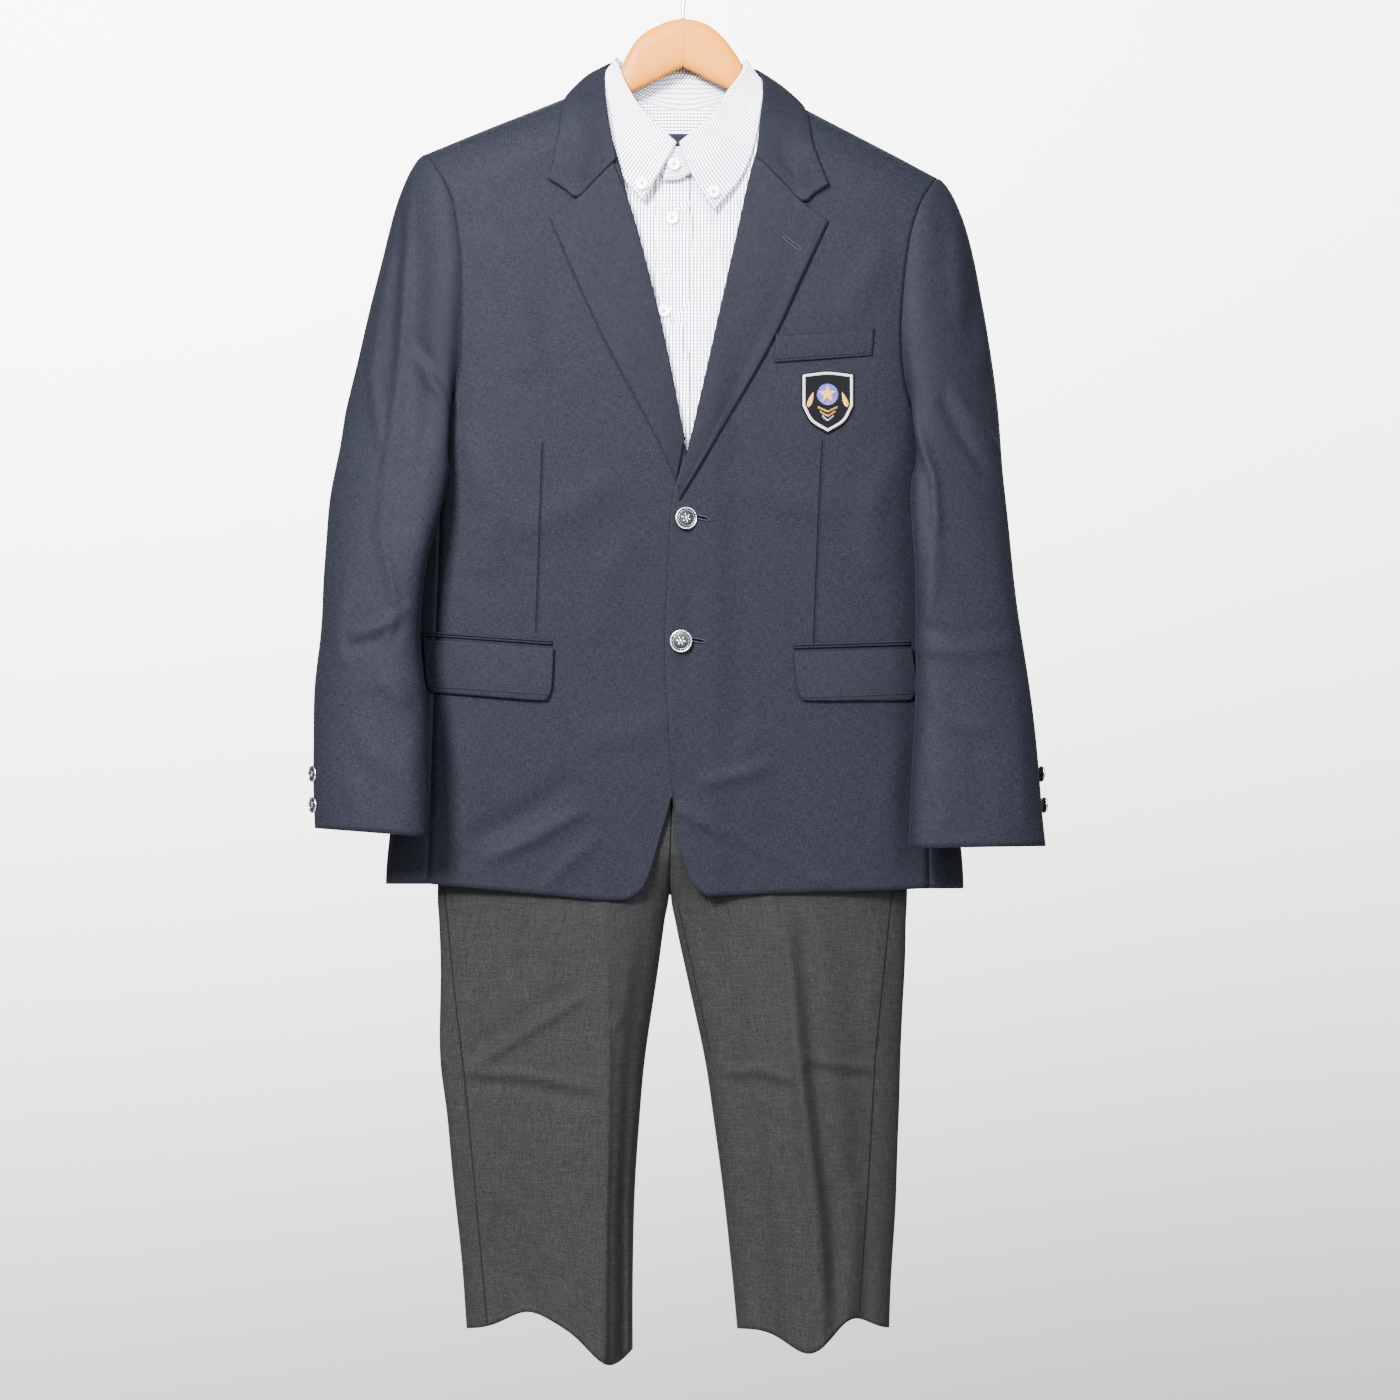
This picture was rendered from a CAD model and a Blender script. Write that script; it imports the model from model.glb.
"""The looks of a school uniform on a wooden hanger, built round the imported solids.

Sizes are in millimetres, read as the eye sees them from the front, with the origin where the
hook bears on its rail. place() carries each point to its own depth, in metres.
"""

import bpy
import numpy as np
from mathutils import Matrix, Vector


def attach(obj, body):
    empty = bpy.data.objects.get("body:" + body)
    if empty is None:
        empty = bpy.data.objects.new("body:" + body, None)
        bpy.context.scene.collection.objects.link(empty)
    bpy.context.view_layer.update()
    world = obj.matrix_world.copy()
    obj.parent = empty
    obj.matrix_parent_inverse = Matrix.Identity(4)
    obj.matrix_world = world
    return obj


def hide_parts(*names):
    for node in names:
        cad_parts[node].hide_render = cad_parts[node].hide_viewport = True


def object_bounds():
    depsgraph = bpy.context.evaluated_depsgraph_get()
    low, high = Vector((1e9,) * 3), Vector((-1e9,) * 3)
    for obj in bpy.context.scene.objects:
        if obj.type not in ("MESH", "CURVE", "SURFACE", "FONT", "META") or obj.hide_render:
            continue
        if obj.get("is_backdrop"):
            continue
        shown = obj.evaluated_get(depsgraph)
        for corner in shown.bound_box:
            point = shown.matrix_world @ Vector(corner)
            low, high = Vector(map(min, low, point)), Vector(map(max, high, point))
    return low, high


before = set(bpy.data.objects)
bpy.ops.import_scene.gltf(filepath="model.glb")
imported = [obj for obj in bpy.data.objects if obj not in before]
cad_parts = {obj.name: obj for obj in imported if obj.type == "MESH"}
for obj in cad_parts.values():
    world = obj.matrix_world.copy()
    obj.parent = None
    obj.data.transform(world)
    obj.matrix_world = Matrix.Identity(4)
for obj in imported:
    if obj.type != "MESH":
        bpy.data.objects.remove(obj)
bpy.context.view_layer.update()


# The hook is one plated steel wire, 3.4 mm thick, screwed into the top of the bow. It cranks
# to one side and turns most of a circle. It is a round bar drawn along its centre line.
EYE_DISTANCE, EYE_HEIGHT, MM = 2200.0, -670.0, 0.001
HOOK_WIRE, HOOK_RADIUS = 1.7, 19.7


def place(points):
    """Points moved along their line of sight to their own depth, and turned into metres.

    A point at depth y is scaled by (distance + y) / distance about the eye's axis.
    """
    points = np.asarray(points, float).copy()
    scale = (EYE_DISTANCE + points[..., 1]) / EYE_DISTANCE
    points[..., 0] *= scale
    points[..., 2] = EYE_HEIGHT + (points[..., 2] - EYE_HEIGHT) * scale
    return points * MM


def even(count):
    """count + 1 evenly spaced shares from 0 to 1."""
    return np.linspace(0.0, 1.0, count + 1)


def angles(count):
    """count angles, evenly round a circle."""
    return 2 * np.pi * np.arange(count) / count


def unit_of(vectors):
    """The vectors at a length of 1."""
    return vectors / np.linalg.norm(vectors, axis=-1, keepdims=True)


def curve(points, spots):
    """A smooth line through points, read at shares of its length.

    Between b and c the line is (2b + (c - a)s + (2a - 5b + 4c - d)s^2 + (3b - a - 3c + d)s^3) / 2.
    """
    known = np.asarray(points, float)
    ends = np.vstack([2 * known[0] - known[1], known, 2 * known[-1] - known[-2]])
    s = np.linspace(0.0, 1.0, 17)[:-1, None]
    runs = [0.5 * (2 * b + (c - a) * s + (2 * a - 5 * b + 4 * c - d) * s**2 + (3 * b - a - 3 * c + d) * s**3)
            for a, b, c, d in zip(ends, ends[1:], ends[2:], ends[3:])]
    dense = np.vstack(runs + [known[-1:]])
    length = np.r_[0.0, np.cumsum(np.linalg.norm(np.diff(dense, axis=0), axis=1))]
    at = np.asarray(spots) * length[-1]
    return np.stack([np.interp(at, length, dense[:, axis]) for axis in range(dense.shape[1])], axis=1)


def bar(path, radius, sides, up, shut=False):
    """Rings of a round bar: path + radius * (cos a * across + sin a * up'), square to the path."""
    along = (np.roll(path, -1, axis=0) - np.roll(path, 1, axis=0)) if shut else np.gradient(path, axis=0)
    along = unit_of(along)
    across = unit_of(np.cross(along, up))
    upward = np.cross(across, along)
    turn = angles(sides)[None, :, None]
    radius = np.broadcast_to(np.asarray(radius, float), (len(path),))[:, None, None]
    rings = path[:, None] + radius * (np.cos(turn) * across[:, None] + np.sin(turn) * upward[:, None])
    return np.concatenate([rings, rings[:1]]) if shut else rings


def span(points):
    """How far the grid runs, in metres, along each row and down each column, from its first point."""
    metres = place(points)
    across = np.linalg.norm(np.diff(metres, axis=1), axis=2)
    down = np.linalg.norm(np.diff(metres, axis=0), axis=2)
    return (np.pad(np.cumsum(across, axis=1), ((0, 0), (1, 0))),
            np.pad(np.cumsum(down, axis=0), ((1, 0), (0, 0))))


def skin(name, points, facing, finish, nodes=(), uv=None, thick=0.0, round_about=False, capped=False):
    """A grid of points as a mesh whose faces look the way of `facing`, thickened away from it.

    Corner (r, c) joins (r, c + 1), (r + 1, c + 1) and (r + 1, c). The map in metres is (u, v),
    the distances along the row and down the column unless another is given.
    """
    rows, columns = points.shape[:2]
    metres = place(points)
    if uv is None:
        wrapped = np.concatenate([points, points[:, :1]], axis=1) if round_about else points
        across, down = span(wrapped)
        uv = np.stack([across, down.mean(axis=1, keepdims=True) + 0 * down], axis=-1)
    r, c = [index.ravel() for index in np.mgrid[0:rows - 1, 0:(columns if round_about else columns - 1)]]
    n = (c + 1) % columns
    corners = np.stack([r * columns + c, r * columns + n, (r + 1) * columns + n, (r + 1) * columns + c], axis=1)
    marks = np.stack([uv[r, c], uv[r, c + 1], uv[r + 1, c + 1], uv[r + 1, c]], axis=1)
    flat = metres.reshape(-1, 3)
    normal = np.cross(flat[corners[:, 1]] - flat[corners[:, 0]], flat[corners[:, 3]] - flat[corners[:, 0]])
    if (normal * facing.reshape(-1, 3)[corners[:, 0]]).sum() < 0:
        corners, marks = corners[:, ::-1], marks[:, ::-1]
    faces, marks = corners.tolist(), marks.reshape(-1, 2)
    if capped:
        ring = np.arange(columns)
        ends = [ring, (rows - 1) * columns + ring]
        middle = flat.mean(axis=0)
        for end in ends:
            loop = flat[end]
            out = loop.mean(axis=0) - (flat[(end + (columns if end[0] == 0 else -columns))]).mean(axis=0)
            turns = np.cross(loop[0] - loop.mean(axis=0), loop[1] - loop.mean(axis=0)) @ out
            faces.append((end if turns > 0 else end[::-1]).tolist())
        marks = np.concatenate([marks, np.zeros((2 * columns, 2)) + middle[:2]])
    mesh = bpy.data.meshes.new(name)
    mesh.from_pydata(flat.tolist(), [], faces)
    mesh.uv_layers.new(name="cloth").data.foreach_set("uv", marks.astype(np.float32).ravel())
    mesh.materials.append(finish.material)
    mesh.shade_smooth()
    made = bpy.data.objects.new(name, mesh)
    bpy.context.scene.collection.objects.link(made)
    if thick:
        wall = made.modifiers.new("wall", "SOLIDIFY")
        wall.thickness, wall.offset, wall.use_even_offset = thick * MM, -1.0, False
    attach(made, "root")
    if nodes:
        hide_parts(*nodes)
    return made


class Value:
    """A number in a material. Each operator and method on it adds one node of shader maths."""

    def __init__(self, finish, socket):
        self.finish, self.socket = finish, socket

    def math(self, operation, *others):
        return self.finish.node("ShaderNodeMath", {"operation": operation}, dict(enumerate((self, *others))))

    def __add__(self, other):
        return self.math("ADD", other)

    def __sub__(self, other):
        return self.math("SUBTRACT", other)

    def __mul__(self, other):
        return self.math("MULTIPLY", other)

    def __truediv__(self, other):
        return self.math("DIVIDE", other)

    def __rsub__(self, other):
        return self.math("MULTIPLY_ADD", -1.0, other)

    __radd__, __rmul__ = __add__, __mul__

    def near(self, width, soft):
        """1 within width of zero, falling smoothly to 0 over soft."""
        return self.finish.node("ShaderNodeMapRange", {"interpolation_type": "SMOOTHSTEP"},
                                {0: self.math("ABSOLUTE"), 1: width, 2: width + soft, 3: 1.0, 4: 0.0})

    def lines(self, pitch, width, soft):
        """1 on lines a pitch apart: fract(value / pitch) lies within width of a half."""
        return ((self / pitch).math("FRACT") - 0.5).near(width / pitch / 2, soft / pitch)


class Finish:
    """A material round one Principled shader, whose fixed values sit on its own sockets."""

    def __init__(self, name, **fixed):
        self.material = bpy.data.materials.new(name)
        self.material.use_nodes = True
        self.tree = self.material.node_tree
        self.shader = self.tree.nodes["Principled BSDF"]
        for socket, value in fixed.items():
            self.shader.inputs[socket.replace("_", " ")].default_value = value

    def node(self, kind, settings, inputs, output=0):
        """Any node, with its settings, then the values or links of its sockets; gives one output."""
        made = self.tree.nodes.new(kind)
        for key, value in settings.items():
            setattr(made, key, value)
        for key, value in inputs.items():
            if isinstance(value, Value):
                self.tree.links.new(value.socket, made.inputs[key])
            else:
                made.inputs[key].default_value = value
        return Value(self, made.outputs[output])

    def where(self, stretch=(1.0, 1.0, 1.0), on_cloth=False):
        """The place on the piece, by its own map or its object's axes, stretched."""
        place_of = (self.node("ShaderNodeUVMap", {"uv_map": "cloth"}, {}) if on_cloth
                    else self.node("ShaderNodeTexCoord", {}, {}, "Object"))
        return self.node("ShaderNodeMapping", {}, {"Vector": place_of, "Scale": stretch})

    def axis(self, vector, name):
        return self.node("ShaderNodeSeparateXYZ", {}, {0: vector}, name)

    def noise(self, vector, scale, detail=3.0):
        return self.node("ShaderNodeTexNoise", {}, {"Vector": vector, "Scale": scale, "Detail": detail})

    def specks(self, rate, detail):
        """Noise of about `rate` specks to a metre, the same all ways."""
        return self.noise(self.where((rate, rate, rate)), 1.0, detail)

    def yarns(self, across, down, detail=3.0):
        """Noise on the cloth's own map, at these rates to a metre across and down."""
        return self.noise(self.where((across, down, 1.0), on_cloth=True), 1.0, detail)

    def blend(self, share, one, other):
        """The colour (1 - share) * one + share * other."""
        return self.node("ShaderNodeMix", {"data_type": "RGBA"}, {0: share, 6: one, 7: other}, 2)

    def feed(self, colour=None, roughness=None, height=None, depth=0.0002):
        """Links what changes over the surface, the height through a Bump node."""
        if colour:
            self.tree.links.new(colour.socket, self.shader.inputs["Base Color"])
        if roughness:
            self.tree.links.new(roughness.socket, self.shader.inputs["Roughness"])
        if height:
            bump = self.node("ShaderNodeBump", {}, {"Height": height, "Distance": depth, "Strength": 1.0})
            self.tree.links.new(bump.socket, self.shader.inputs["Normal"])
        return self


plated = Finish("plated_wire", Base_Color=(0.62, 0.61, 0.60, 1.0), Metallic=1.0, Roughness=0.25)
drawn = plated.where((30.0, 30.0, 4.0))
plated.feed(roughness=plated.noise(drawn, 20.0) * 0.2 + 0.18, height=plated.noise(drawn, 60.0), depth=0.00005)
bend = np.radians(np.linspace(-50, 200, 64))
stem = curve([(0, 0, -57.5), (0, 0, -46), (2, 0, -38.5),
              (HOOK_RADIUS * np.cos(bend[0]) * 0.7, 0, -36.5)], even(16))
loop = np.stack([HOOK_RADIUS * np.cos(bend), 0 * bend,
                 HOOK_WIRE - HOOK_RADIUS + HOOK_RADIUS * np.sin(bend)], axis=-1)
hook_line = curve(np.concatenate([stem, loop[1:]])[::2], even(90))
rounded = np.r_[1.0 + 0 * even(86), 0.97, 0.85, 0.55, 0.2][:91]
hook_rings = bar(hook_line, HOOK_WIRE * rounded, 16, np.array((0, 1.0, 0)))
skin("hook_wire", hook_rings, hook_rings - hook_line[:, None], plated, ["hanger_hook"],
     round_about=True, capped=True)


# The bow is two halves of pale beech, glued at the middle and shaped like the shoulders, with
# a clear satin lacquer. Its rings are flattened ovals that follow the top and bottom edges.
# Columns: x, top edge, bottom edge, front face, back face.
BOW = [(-214, -186, -201, -8, 3), (-190, -175, -198, -10, 4), (-150, -159, -180, -10, 4),
       (-85, -137, -154, -8, 3), (-68, -132, -146, -6, 3), (-60, -120, -139, -5, 3), (-56.3, -103, -133, -5, 4),
       (-44.6, -80.1, -123.5, -7, 7), (-33.6, -69.3, -118, -7, 7), (-21, -62.6, -111.5, -7, 7),
       (-10.2, -58.6, -106, -7, 7), (0, -57.1, -100.8, -7, 7), (13.3, -59.2, -107.2, -7, 7),
       (24.3, -63.9, -113, -7, 7), (35.1, -73.0, -118.5, -7, 7), (43.2, -83.0, -122.5, -7, 7),
       (52, -97, -130, -5, 4), (56.5, -119, -136, -5, 3), (65, -133, -147, -6, 3), (85, -141, -160, -8, 3),
       (150, -172, -193, -10, 4), (186, -191, -212, -10, 4), (208, -205, -220, -8, 3)]
beech = Finish("pale_beech", Roughness=0.5, Specular_IOR_Level=0.12, Coat_Weight=0.03, Coat_Roughness=0.3)
grain = beech.where((110.0, 5.0, 1.0), on_cloth=True)
streaks = beech.noise(grain, 3.0, 6.0)
pores = beech.noise(beech.where((900.0, 40.0, 1.0), on_cloth=True), 2.0)
half = beech.axis(beech.where(), "X") - 0.0002
tone = beech.blend(streaks, (0.36, 0.128, 0.0008, 1.0), (0.27, 0.085, 0.0005, 1.0))
tone = beech.blend(half.math("LESS_THAN", 0.0) * 0.12, tone, (0.20, 0.06, 0.005, 1.0))
tone = beech.blend(half.near(0.00015, 0.0003) * 0.7, tone, (0.10, 0.03, 0.01, 1.0))
tone = beech.blend(pores.math("GREATER_THAN", 0.66) * 0.22, tone, (0.25, 0.09, 0.02, 1.0))
beech.feed(tone, streaks * 0.15 + 0.38, streaks * 0.6 + pores * 0.4, 0.00012)
left_arm, right_arm = np.array(BOW[:12], float), np.array(BOW[11:], float)
bow_table = np.vstack([curve(left_arm, even(44))[:-1], curve(right_arm, even(44))])
turn = angles(28)
around = np.sign(np.cos(turn)) * np.abs(np.cos(turn))**0.7
upward = np.sign(np.sin(turn)) * np.abs(np.sin(turn))**0.7
x, top, bottom, front, back = bow_table.T[:, :, None]
bow_rings = np.stack([x + 0 * turn, (front + back) / 2 + (back - front) / 2 * around,
                      (top + bottom) / 2 + (top - bottom) / 2 * upward], axis=-1)
tip_shares = np.array((0.25, 0.7, 0.92))[:, None, None]
tips = []
for ring, lean in ((bow_rings[0], (-3.0, 0, 1)), (bow_rings[-1], (3.0, 0, 1))):
    centre = ring.mean(axis=0)
    tips.append(centre + tip_shares * (ring - centre) + lean * (1 - tip_shares))
bow_rings = np.concatenate([tips[0], bow_rings, tips[1][::-1]])
skin("beech_bow", bow_rings, bow_rings - bow_rings.mean(axis=1, keepdims=True), beech, ["hanger_bow"],
     round_about=True, capped=True)


# The shirt is crisp white cotton with a fine violet-grey graph check, a millimetre thick where it
# is sewn. Two fronts meet under the placket, and a back and a yoke close it. It is cut over
# one hollow form, and the check follows each piece's own grain.
SHIRT_CLOTH, SHIRT_CENTRE, SHIRT_HEM, YOKE_SEAM = 1.0, -9.0, -645.0, -215.0
SHIRT_WALL, SHOULDER_ROUND, SEAM_GAP, LAYER_GAP = SHIRT_CLOTH * 0.7, 45.0, 0.3, 0.6


def crowded(count, power=1.7):
    """Shares from 0 to 1 that crowd towards 1: 1 - (1 - s)^power."""
    return 1.0 - (1.0 - even(count)) ** power


def chain(*lines):
    """Lines that meet end to end, as one."""
    return np.vstack([line[:-1] for line in lines[:-1]] + [lines[-1]])


def coons(bottom, top, left, right, spread=None):
    """The patch between four edges: lofts both ways, less the bilinear patch of the corners."""
    u = (even(len(bottom) - 1) if spread is None else spread)[None, :, None]
    v = even(len(left) - 1)[:, None, None]
    corners = (1 - u) * (1 - v) * bottom[0] + u * (1 - v) * bottom[-1] + (1 - u) * v * top[0] + u * v * top[-1]
    return (1 - v) * bottom[None] + v * top[None] + (1 - u) * left[:, None] + u * right[:, None] - corners


def patch(low, high, columns, rows):
    """The patch between a low and a high line, with straight sides."""
    low, high = curve(low, even(columns)), curve(high, even(columns))
    return coons(low, high, *[curve([low[end], high[end]], even(rows)) for end in (0, -1)])


def fade(count, rate):
    """1 inside a row of count steps, falling to 0 at its two ends."""
    return np.minimum(np.minimum(even(count), 1 - even(count)) * rate, 1.0)


def draw_in(grid, sides, amount=SEAM_GAP / 2):
    """Moves the named edges towards their neighbours, for the gap at a seam."""
    grid = grid.copy()
    for side in sides:
        edge, inner = {"left": (np.s_[:, 0], np.s_[:, 1]), "right": (np.s_[:, -1], np.s_[:, -2]),
                       "bottom": (np.s_[0], np.s_[1]), "top": (np.s_[-1], np.s_[-2])}[side]
        step = grid[inner] - grid[edge]
        grid[edge] = grid[edge] + amount * step / np.linalg.norm(step, axis=-1, keepdims=True)
    return grid


def grid_normals(grid, closed=False):
    """Unit normals: the cross product of the differences along a row and down a column."""
    wide = np.concatenate([grid[:, -1:], grid, grid[:, :1]], axis=1) if closed else grid
    across = np.gradient(wide, axis=1)[:, 1:-1] if closed else np.gradient(grid, axis=1)
    normals = np.cross(across, np.gradient(grid, axis=0))
    return normals / np.maximum(np.linalg.norm(normals, axis=-1, keepdims=True), 1e-9)


def shoulder_height(x):
    """The blazer's shoulder line, lower and steeper on the viewer's right."""
    return np.where(x < 0, -87.0 + 0.399 * x, -80.5 - 0.527 * x)


class Body:
    """A garment's hollow form, from rows of height, left edge, right edge, depth in front and behind.

    Across, the depth is D * sqrt(1 - t^2) * (1 + t^2 / 2), with t from -1 to 1 between the side
    edges. Towards the shoulder line it rounds off as a quarter circle of SHOULDER_ROUND.
    """

    def __init__(self, drop, rows):
        self.drop, self.rows = drop, curve(rows, even(60))

    def read(self, z):
        order = np.argsort(self.rows[:, 0])
        return [np.interp(z, self.rows[order, 0], self.rows[order, column]) for column in (1, 2, 3, 4)]

    def square(self, x, z, behind):
        """The depth squared, which falls below zero outside the outline."""
        left, right, front, back = self.read(z)
        t = (2 * x - left - right) / (right - left)
        sink = np.minimum((shoulder_height(x) - self.drop - z) / SHOULDER_ROUND, 1.0)
        return (back if behind else front)**2 * (1 - t**2) * (1 + t**2 / 2)**2 * (1 - (1 - sink)**2)

    def slope(self, points, behind):
        """The outward gradient of y^2 - depth^2."""
        x, y, z = points[..., 0], points[..., 1], points[..., 2]
        return np.stack([self.square(x - 0.5, z, behind) - self.square(x + 0.5, z, behind), 2 * y,
                         self.square(x, z - 0.5, behind) - self.square(x, z + 0.5, behind)], axis=-1)

    def normals(self, points, behind):
        slope = self.slope(points, behind)
        return slope / np.maximum(np.linalg.norm(slope, axis=-1, keepdims=True), 1e-9)

    def facing(self, points):
        """The normals, those in front or behind as each point lies."""
        behind = (points[..., 1] > 0)[..., None]
        return np.where(behind, self.normals(points, True), self.normals(points, False))

    def cover(self, flat, behind=False, out=0.0):
        """Points over (x, z), moved out along the normal by `out`, and the normals."""
        x, z = flat[..., 0], flat[..., 1]
        depth = np.sqrt(np.maximum(self.square(x, z, behind), 0.0))
        points = np.stack([x, depth if behind else -depth, z], axis=-1)
        normals = self.normals(points, behind)
        return points + np.asarray(out)[..., None] * normals, normals

    def clear(self, points, gap):
        """Moves points that come nearer than the gap out of the form, by its distance over its slope."""
        points = points.copy()
        for _ in range(6):
            for behind in (False, True):
                side = (points[..., 1] > 0) == behind
                slope = self.slope(points, behind)
                size = np.maximum(np.linalg.norm(slope, axis=-1), 1e-9)
                near = (points[..., 1]**2 - self.square(points[..., 0], points[..., 2], behind)) / size
                push = np.clip(gap - near, 0.0, 6.0) * side
                points += push[..., None] * slope / size[..., None]
        return points


def folds(flat, table):
    """The height of hand-placed folds: height * exp(-(distance / width)^2), fading at both ends.

    Each row is the fold's line of (x, z) points, its width and its height, below zero for a valley.
    """
    x, z = flat[..., 0], flat[..., -1]
    total = np.zeros(x.shape)
    for line, width, height in table:
        line = np.asarray(line, float)
        steps = np.linalg.norm(np.diff(line, axis=0), axis=1)
        nearest, along, gone = np.full(x.shape, 1e9), np.zeros(x.shape), 0.0
        for a, b, step in zip(line, line[1:], steps):
            t = np.clip(((x - a[0]) * (b[0] - a[0]) + (z - a[1]) * (b[1] - a[1])) / step**2, 0.0, 1.0)
            away = np.hypot(x - a[0] - t * (b[0] - a[0]), z - a[1] - t * (b[1] - a[1]))
            closer = away < nearest
            nearest, along = np.where(closer, away, nearest), np.where(closer, gone + t * step, along)
            gone += step
        share = along / steps.sum()
        total += height * np.exp(-(nearest / width)**2) * np.clip(4 * share * (1 - share), 0.0, 1.0)**0.4
    return total


def rumple(flat, seed, size, height):
    """Soft unevenness: a few sine waves of the given size, turned by the golden angle, added up."""
    x, z = flat[..., 0], flat[..., -1]
    turn = 2.4 * (np.arange(5) + seed)
    waves = [np.sin((np.cos(a) * x + np.sin(a) * z) * 2 * np.pi / (size * (1 + 0.35 * k)) + 1.7 * a + seed)
             for k, a in enumerate(turn)]
    return height * sum(waves) / len(waves)


def cut(points):
    across, down = span(points)
    metres = place(points)
    one, two = metres[1:, 1:] - metres[:-1, :-1], metres[1:, :-1] - metres[:-1, 1:]


def checked_cotton(name, edge_stitch=None):
    """White cotton with a graph check: lines 3 mm apart both ways, thinner across than down."""
    cotton = Finish(name, Roughness=0.82, Sheen_Weight=0.15, Sheen_Roughness=0.5, Specular_IOR_Level=0.3)
    cloth = cotton.where(on_cloth=True)
    u, v = cotton.axis(cloth, "X"), cotton.axis(cloth, "Y")
    drift = cotton.noise(cloth, 14.0) * 0.0012
    down = (u + drift).lines(0.0030, 0.00098, 0.00020)
    across = (v + drift).lines(0.0030, 0.00066, 0.00020)
    threads = cotton.yarns(900.0, 9000.0)
    ground = cotton.blend(threads, (0.88, 0.88, 0.94, 1.0), (0.96, 0.96, 0.99, 1.0))
    share = (down.math("MAXIMUM", across * 0.75) + down * across * 0.25).math("MINIMUM", 1.0)
    colour = cotton.blend(share * 0.92, ground, (0.035, 0.032, 0.130, 1.0))
    height = (u * 9000.0).math("SINE") * (v * 9000.0).math("SINE") * 0.35 + threads * 0.4
    for across_line, value in (edge_stitch or ()):
        seam = ((u if across_line else v) - value).near(0.00025, 0.00035)
        dashes = ((v if across_line else u) / 0.0026).math("FRACT").math("GREATER_THAN", 0.28)
        colour = cotton.blend(seam * 0.25, colour, (0.30, 0.30, 0.38, 1.0))
        height = height - seam * 2.2 + seam * dashes * 1.6
    return cotton.feed(colour, threads * 0.1 + 0.76, height, 0.00012)


SHIRT = Body(3.6, [
    (-60, -248, 244, 17, 11), (-180, -246, 242, 23, 13), (-300, -233, 228, 32, 16),
    (-418, -220, 215, 37, 17), (-571, -197, 190, 28, 10.7), (-650, -190, 184, 26, 8.7)])
# The neck point and the shoulder point, on the shoulder line, and the armhole's x.
SHIRT_SIDES = {"left": (-70.0, -226.0, -200.0), "right": (68.0, 222.0, 196.0)}
SHIRT_FINE = 4
# Columns: the line of each fold, its width and its height.
SHIRT_FOLDS = [
    ([(-21, -222), (-6, -229), (12, -224)], 3.2, 2.2), ([(-24, -236), (-4, -240), (16, -236)], 5, -1.2),
    ([(14, -212), (34, -262), (44, -330)], 7, 2.0), ([(26, -226), (44, -290)], 5, -1.6),
    ([(8, -222), (20, -250), (22, -290)], 4, 1.3), ([(-30, -236), (-38, -290), (-30, -350)], 6, 1.6),
    ([(10, -330), (30, -366), (20, -416)], 7, 1.6), ([(-60, -290), (-30, -320), (4, -330)], 7, 1.4),
    ([(-34, -262), (-14, -282), (-4, -300)], 5, 1.2), ([(6, -268), (26, -282), (40, -286)], 5, 1.2),
    ([(-2, -250), (6, -320), (0, -400)], 6, 0.9)]


def shirt_shoulder(x):
    """The shirt's shoulder line, under the blazer's."""
    return float(shoulder_height(np.array(x))) - SHIRT.drop


def shirt_edges(side):
    """The side seam, hem to underarm, and the armhole, underarm to shoulder."""
    _, shoulder, across = SHIRT_SIDES[side]
    heights = SHIRT_HEM + (-424.0 - SHIRT_HEM) * even(5 * SHIRT_FINE)
    seam = np.stack([SHIRT.read(heights)[0 if side == "left" else 1], heights], axis=-1)
    top = (shoulder, shirt_shoulder(shoulder))
    hole = curve([seam[-1], (across, -360), (across, -260), top], crowded(7 * SHIRT_FINE))
    return seam, hole


plain_cotton = checked_cotton("graph_check_cotton")
for side in ("left", "right"):
    neck, shoulder, _ = SHIRT_SIDES[side]
    seam, hole = shirt_edges(side)
    across = 1.0 - np.cos(np.pi / 2 * even(14 * SHIRT_FINE))
    ends = [(x, shirt_shoulder(x)) for x in (shoulder, neck)]
    neckline = chain(curve(ends, even(7 * SHIRT_FINE)),
                     curve([ends[1], (0.75 * neck, -160), (SHIRT_CENTRE, -198)], even(7 * SHIRT_FINE)))
    centre = chain(curve([(SHIRT_CENTRE, SHIRT_HEM), (SHIRT_CENTRE, -430)], even(5 * SHIRT_FINE)),
                   curve([(SHIRT_CENTRE, -430), (SHIRT_CENTRE, -198)], crowded(7 * SHIRT_FINE)))
    hem = curve([(seam[0][0], SHIRT_HEM), (SHIRT_CENTRE, SHIRT_HEM)], across)
    flat = coons(hem, neckline, chain(seam, hole), centre, across)
    points, normals = SHIRT.cover(flat, out=2.1 * folds(flat, SHIRT_FOLDS) - 0.3 + rumple(flat, 3, 40, 0.7))
    front = skin(f"shirt_front_panel_{side}", draw_in(points, ("left", "right", "top")), normals, plain_cotton,
                 [f"shirt_front_{side}"], uv=flat * MM, thick=SHIRT_WALL)
    cut(points)
(left_seam, left_hole), (right_seam, right_hole) = shirt_edges("left"), shirt_edges("right")
both = (1.0 - np.cos(np.pi * even(9 * SHIRT_FINE))) / 2
low_rows = min(int(np.argmin(np.abs(hole[:, 1] - YOKE_SEAM))) for hole in (left_hole, right_hole)) + 1
left_low, right_low = left_hole[:low_rows], right_hole[:low_rows]
flat = coons(curve([left_seam[0], right_seam[0]], both), curve([left_low[-1], right_low[-1]], both),
             chain(left_seam, left_low), chain(right_seam, right_low), both)
points, normals = SHIRT.cover(flat, behind=True, out=rumple(flat, 7, 90, 0.5) - 0.5)
shirt_back = skin("shirt_back_panel", draw_in(points, ("left", "right", "top")), normals, plain_cotton,
                  ["shirt_back"], uv=flat * MM, thick=SHIRT_WALL)
cut(points)
tops = [np.array([(SHIRT_SIDES[side][k], shirt_shoulder(SHIRT_SIDES[side][k])) for k in (1, 0)])
        for side in ("left", "right")]
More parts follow.
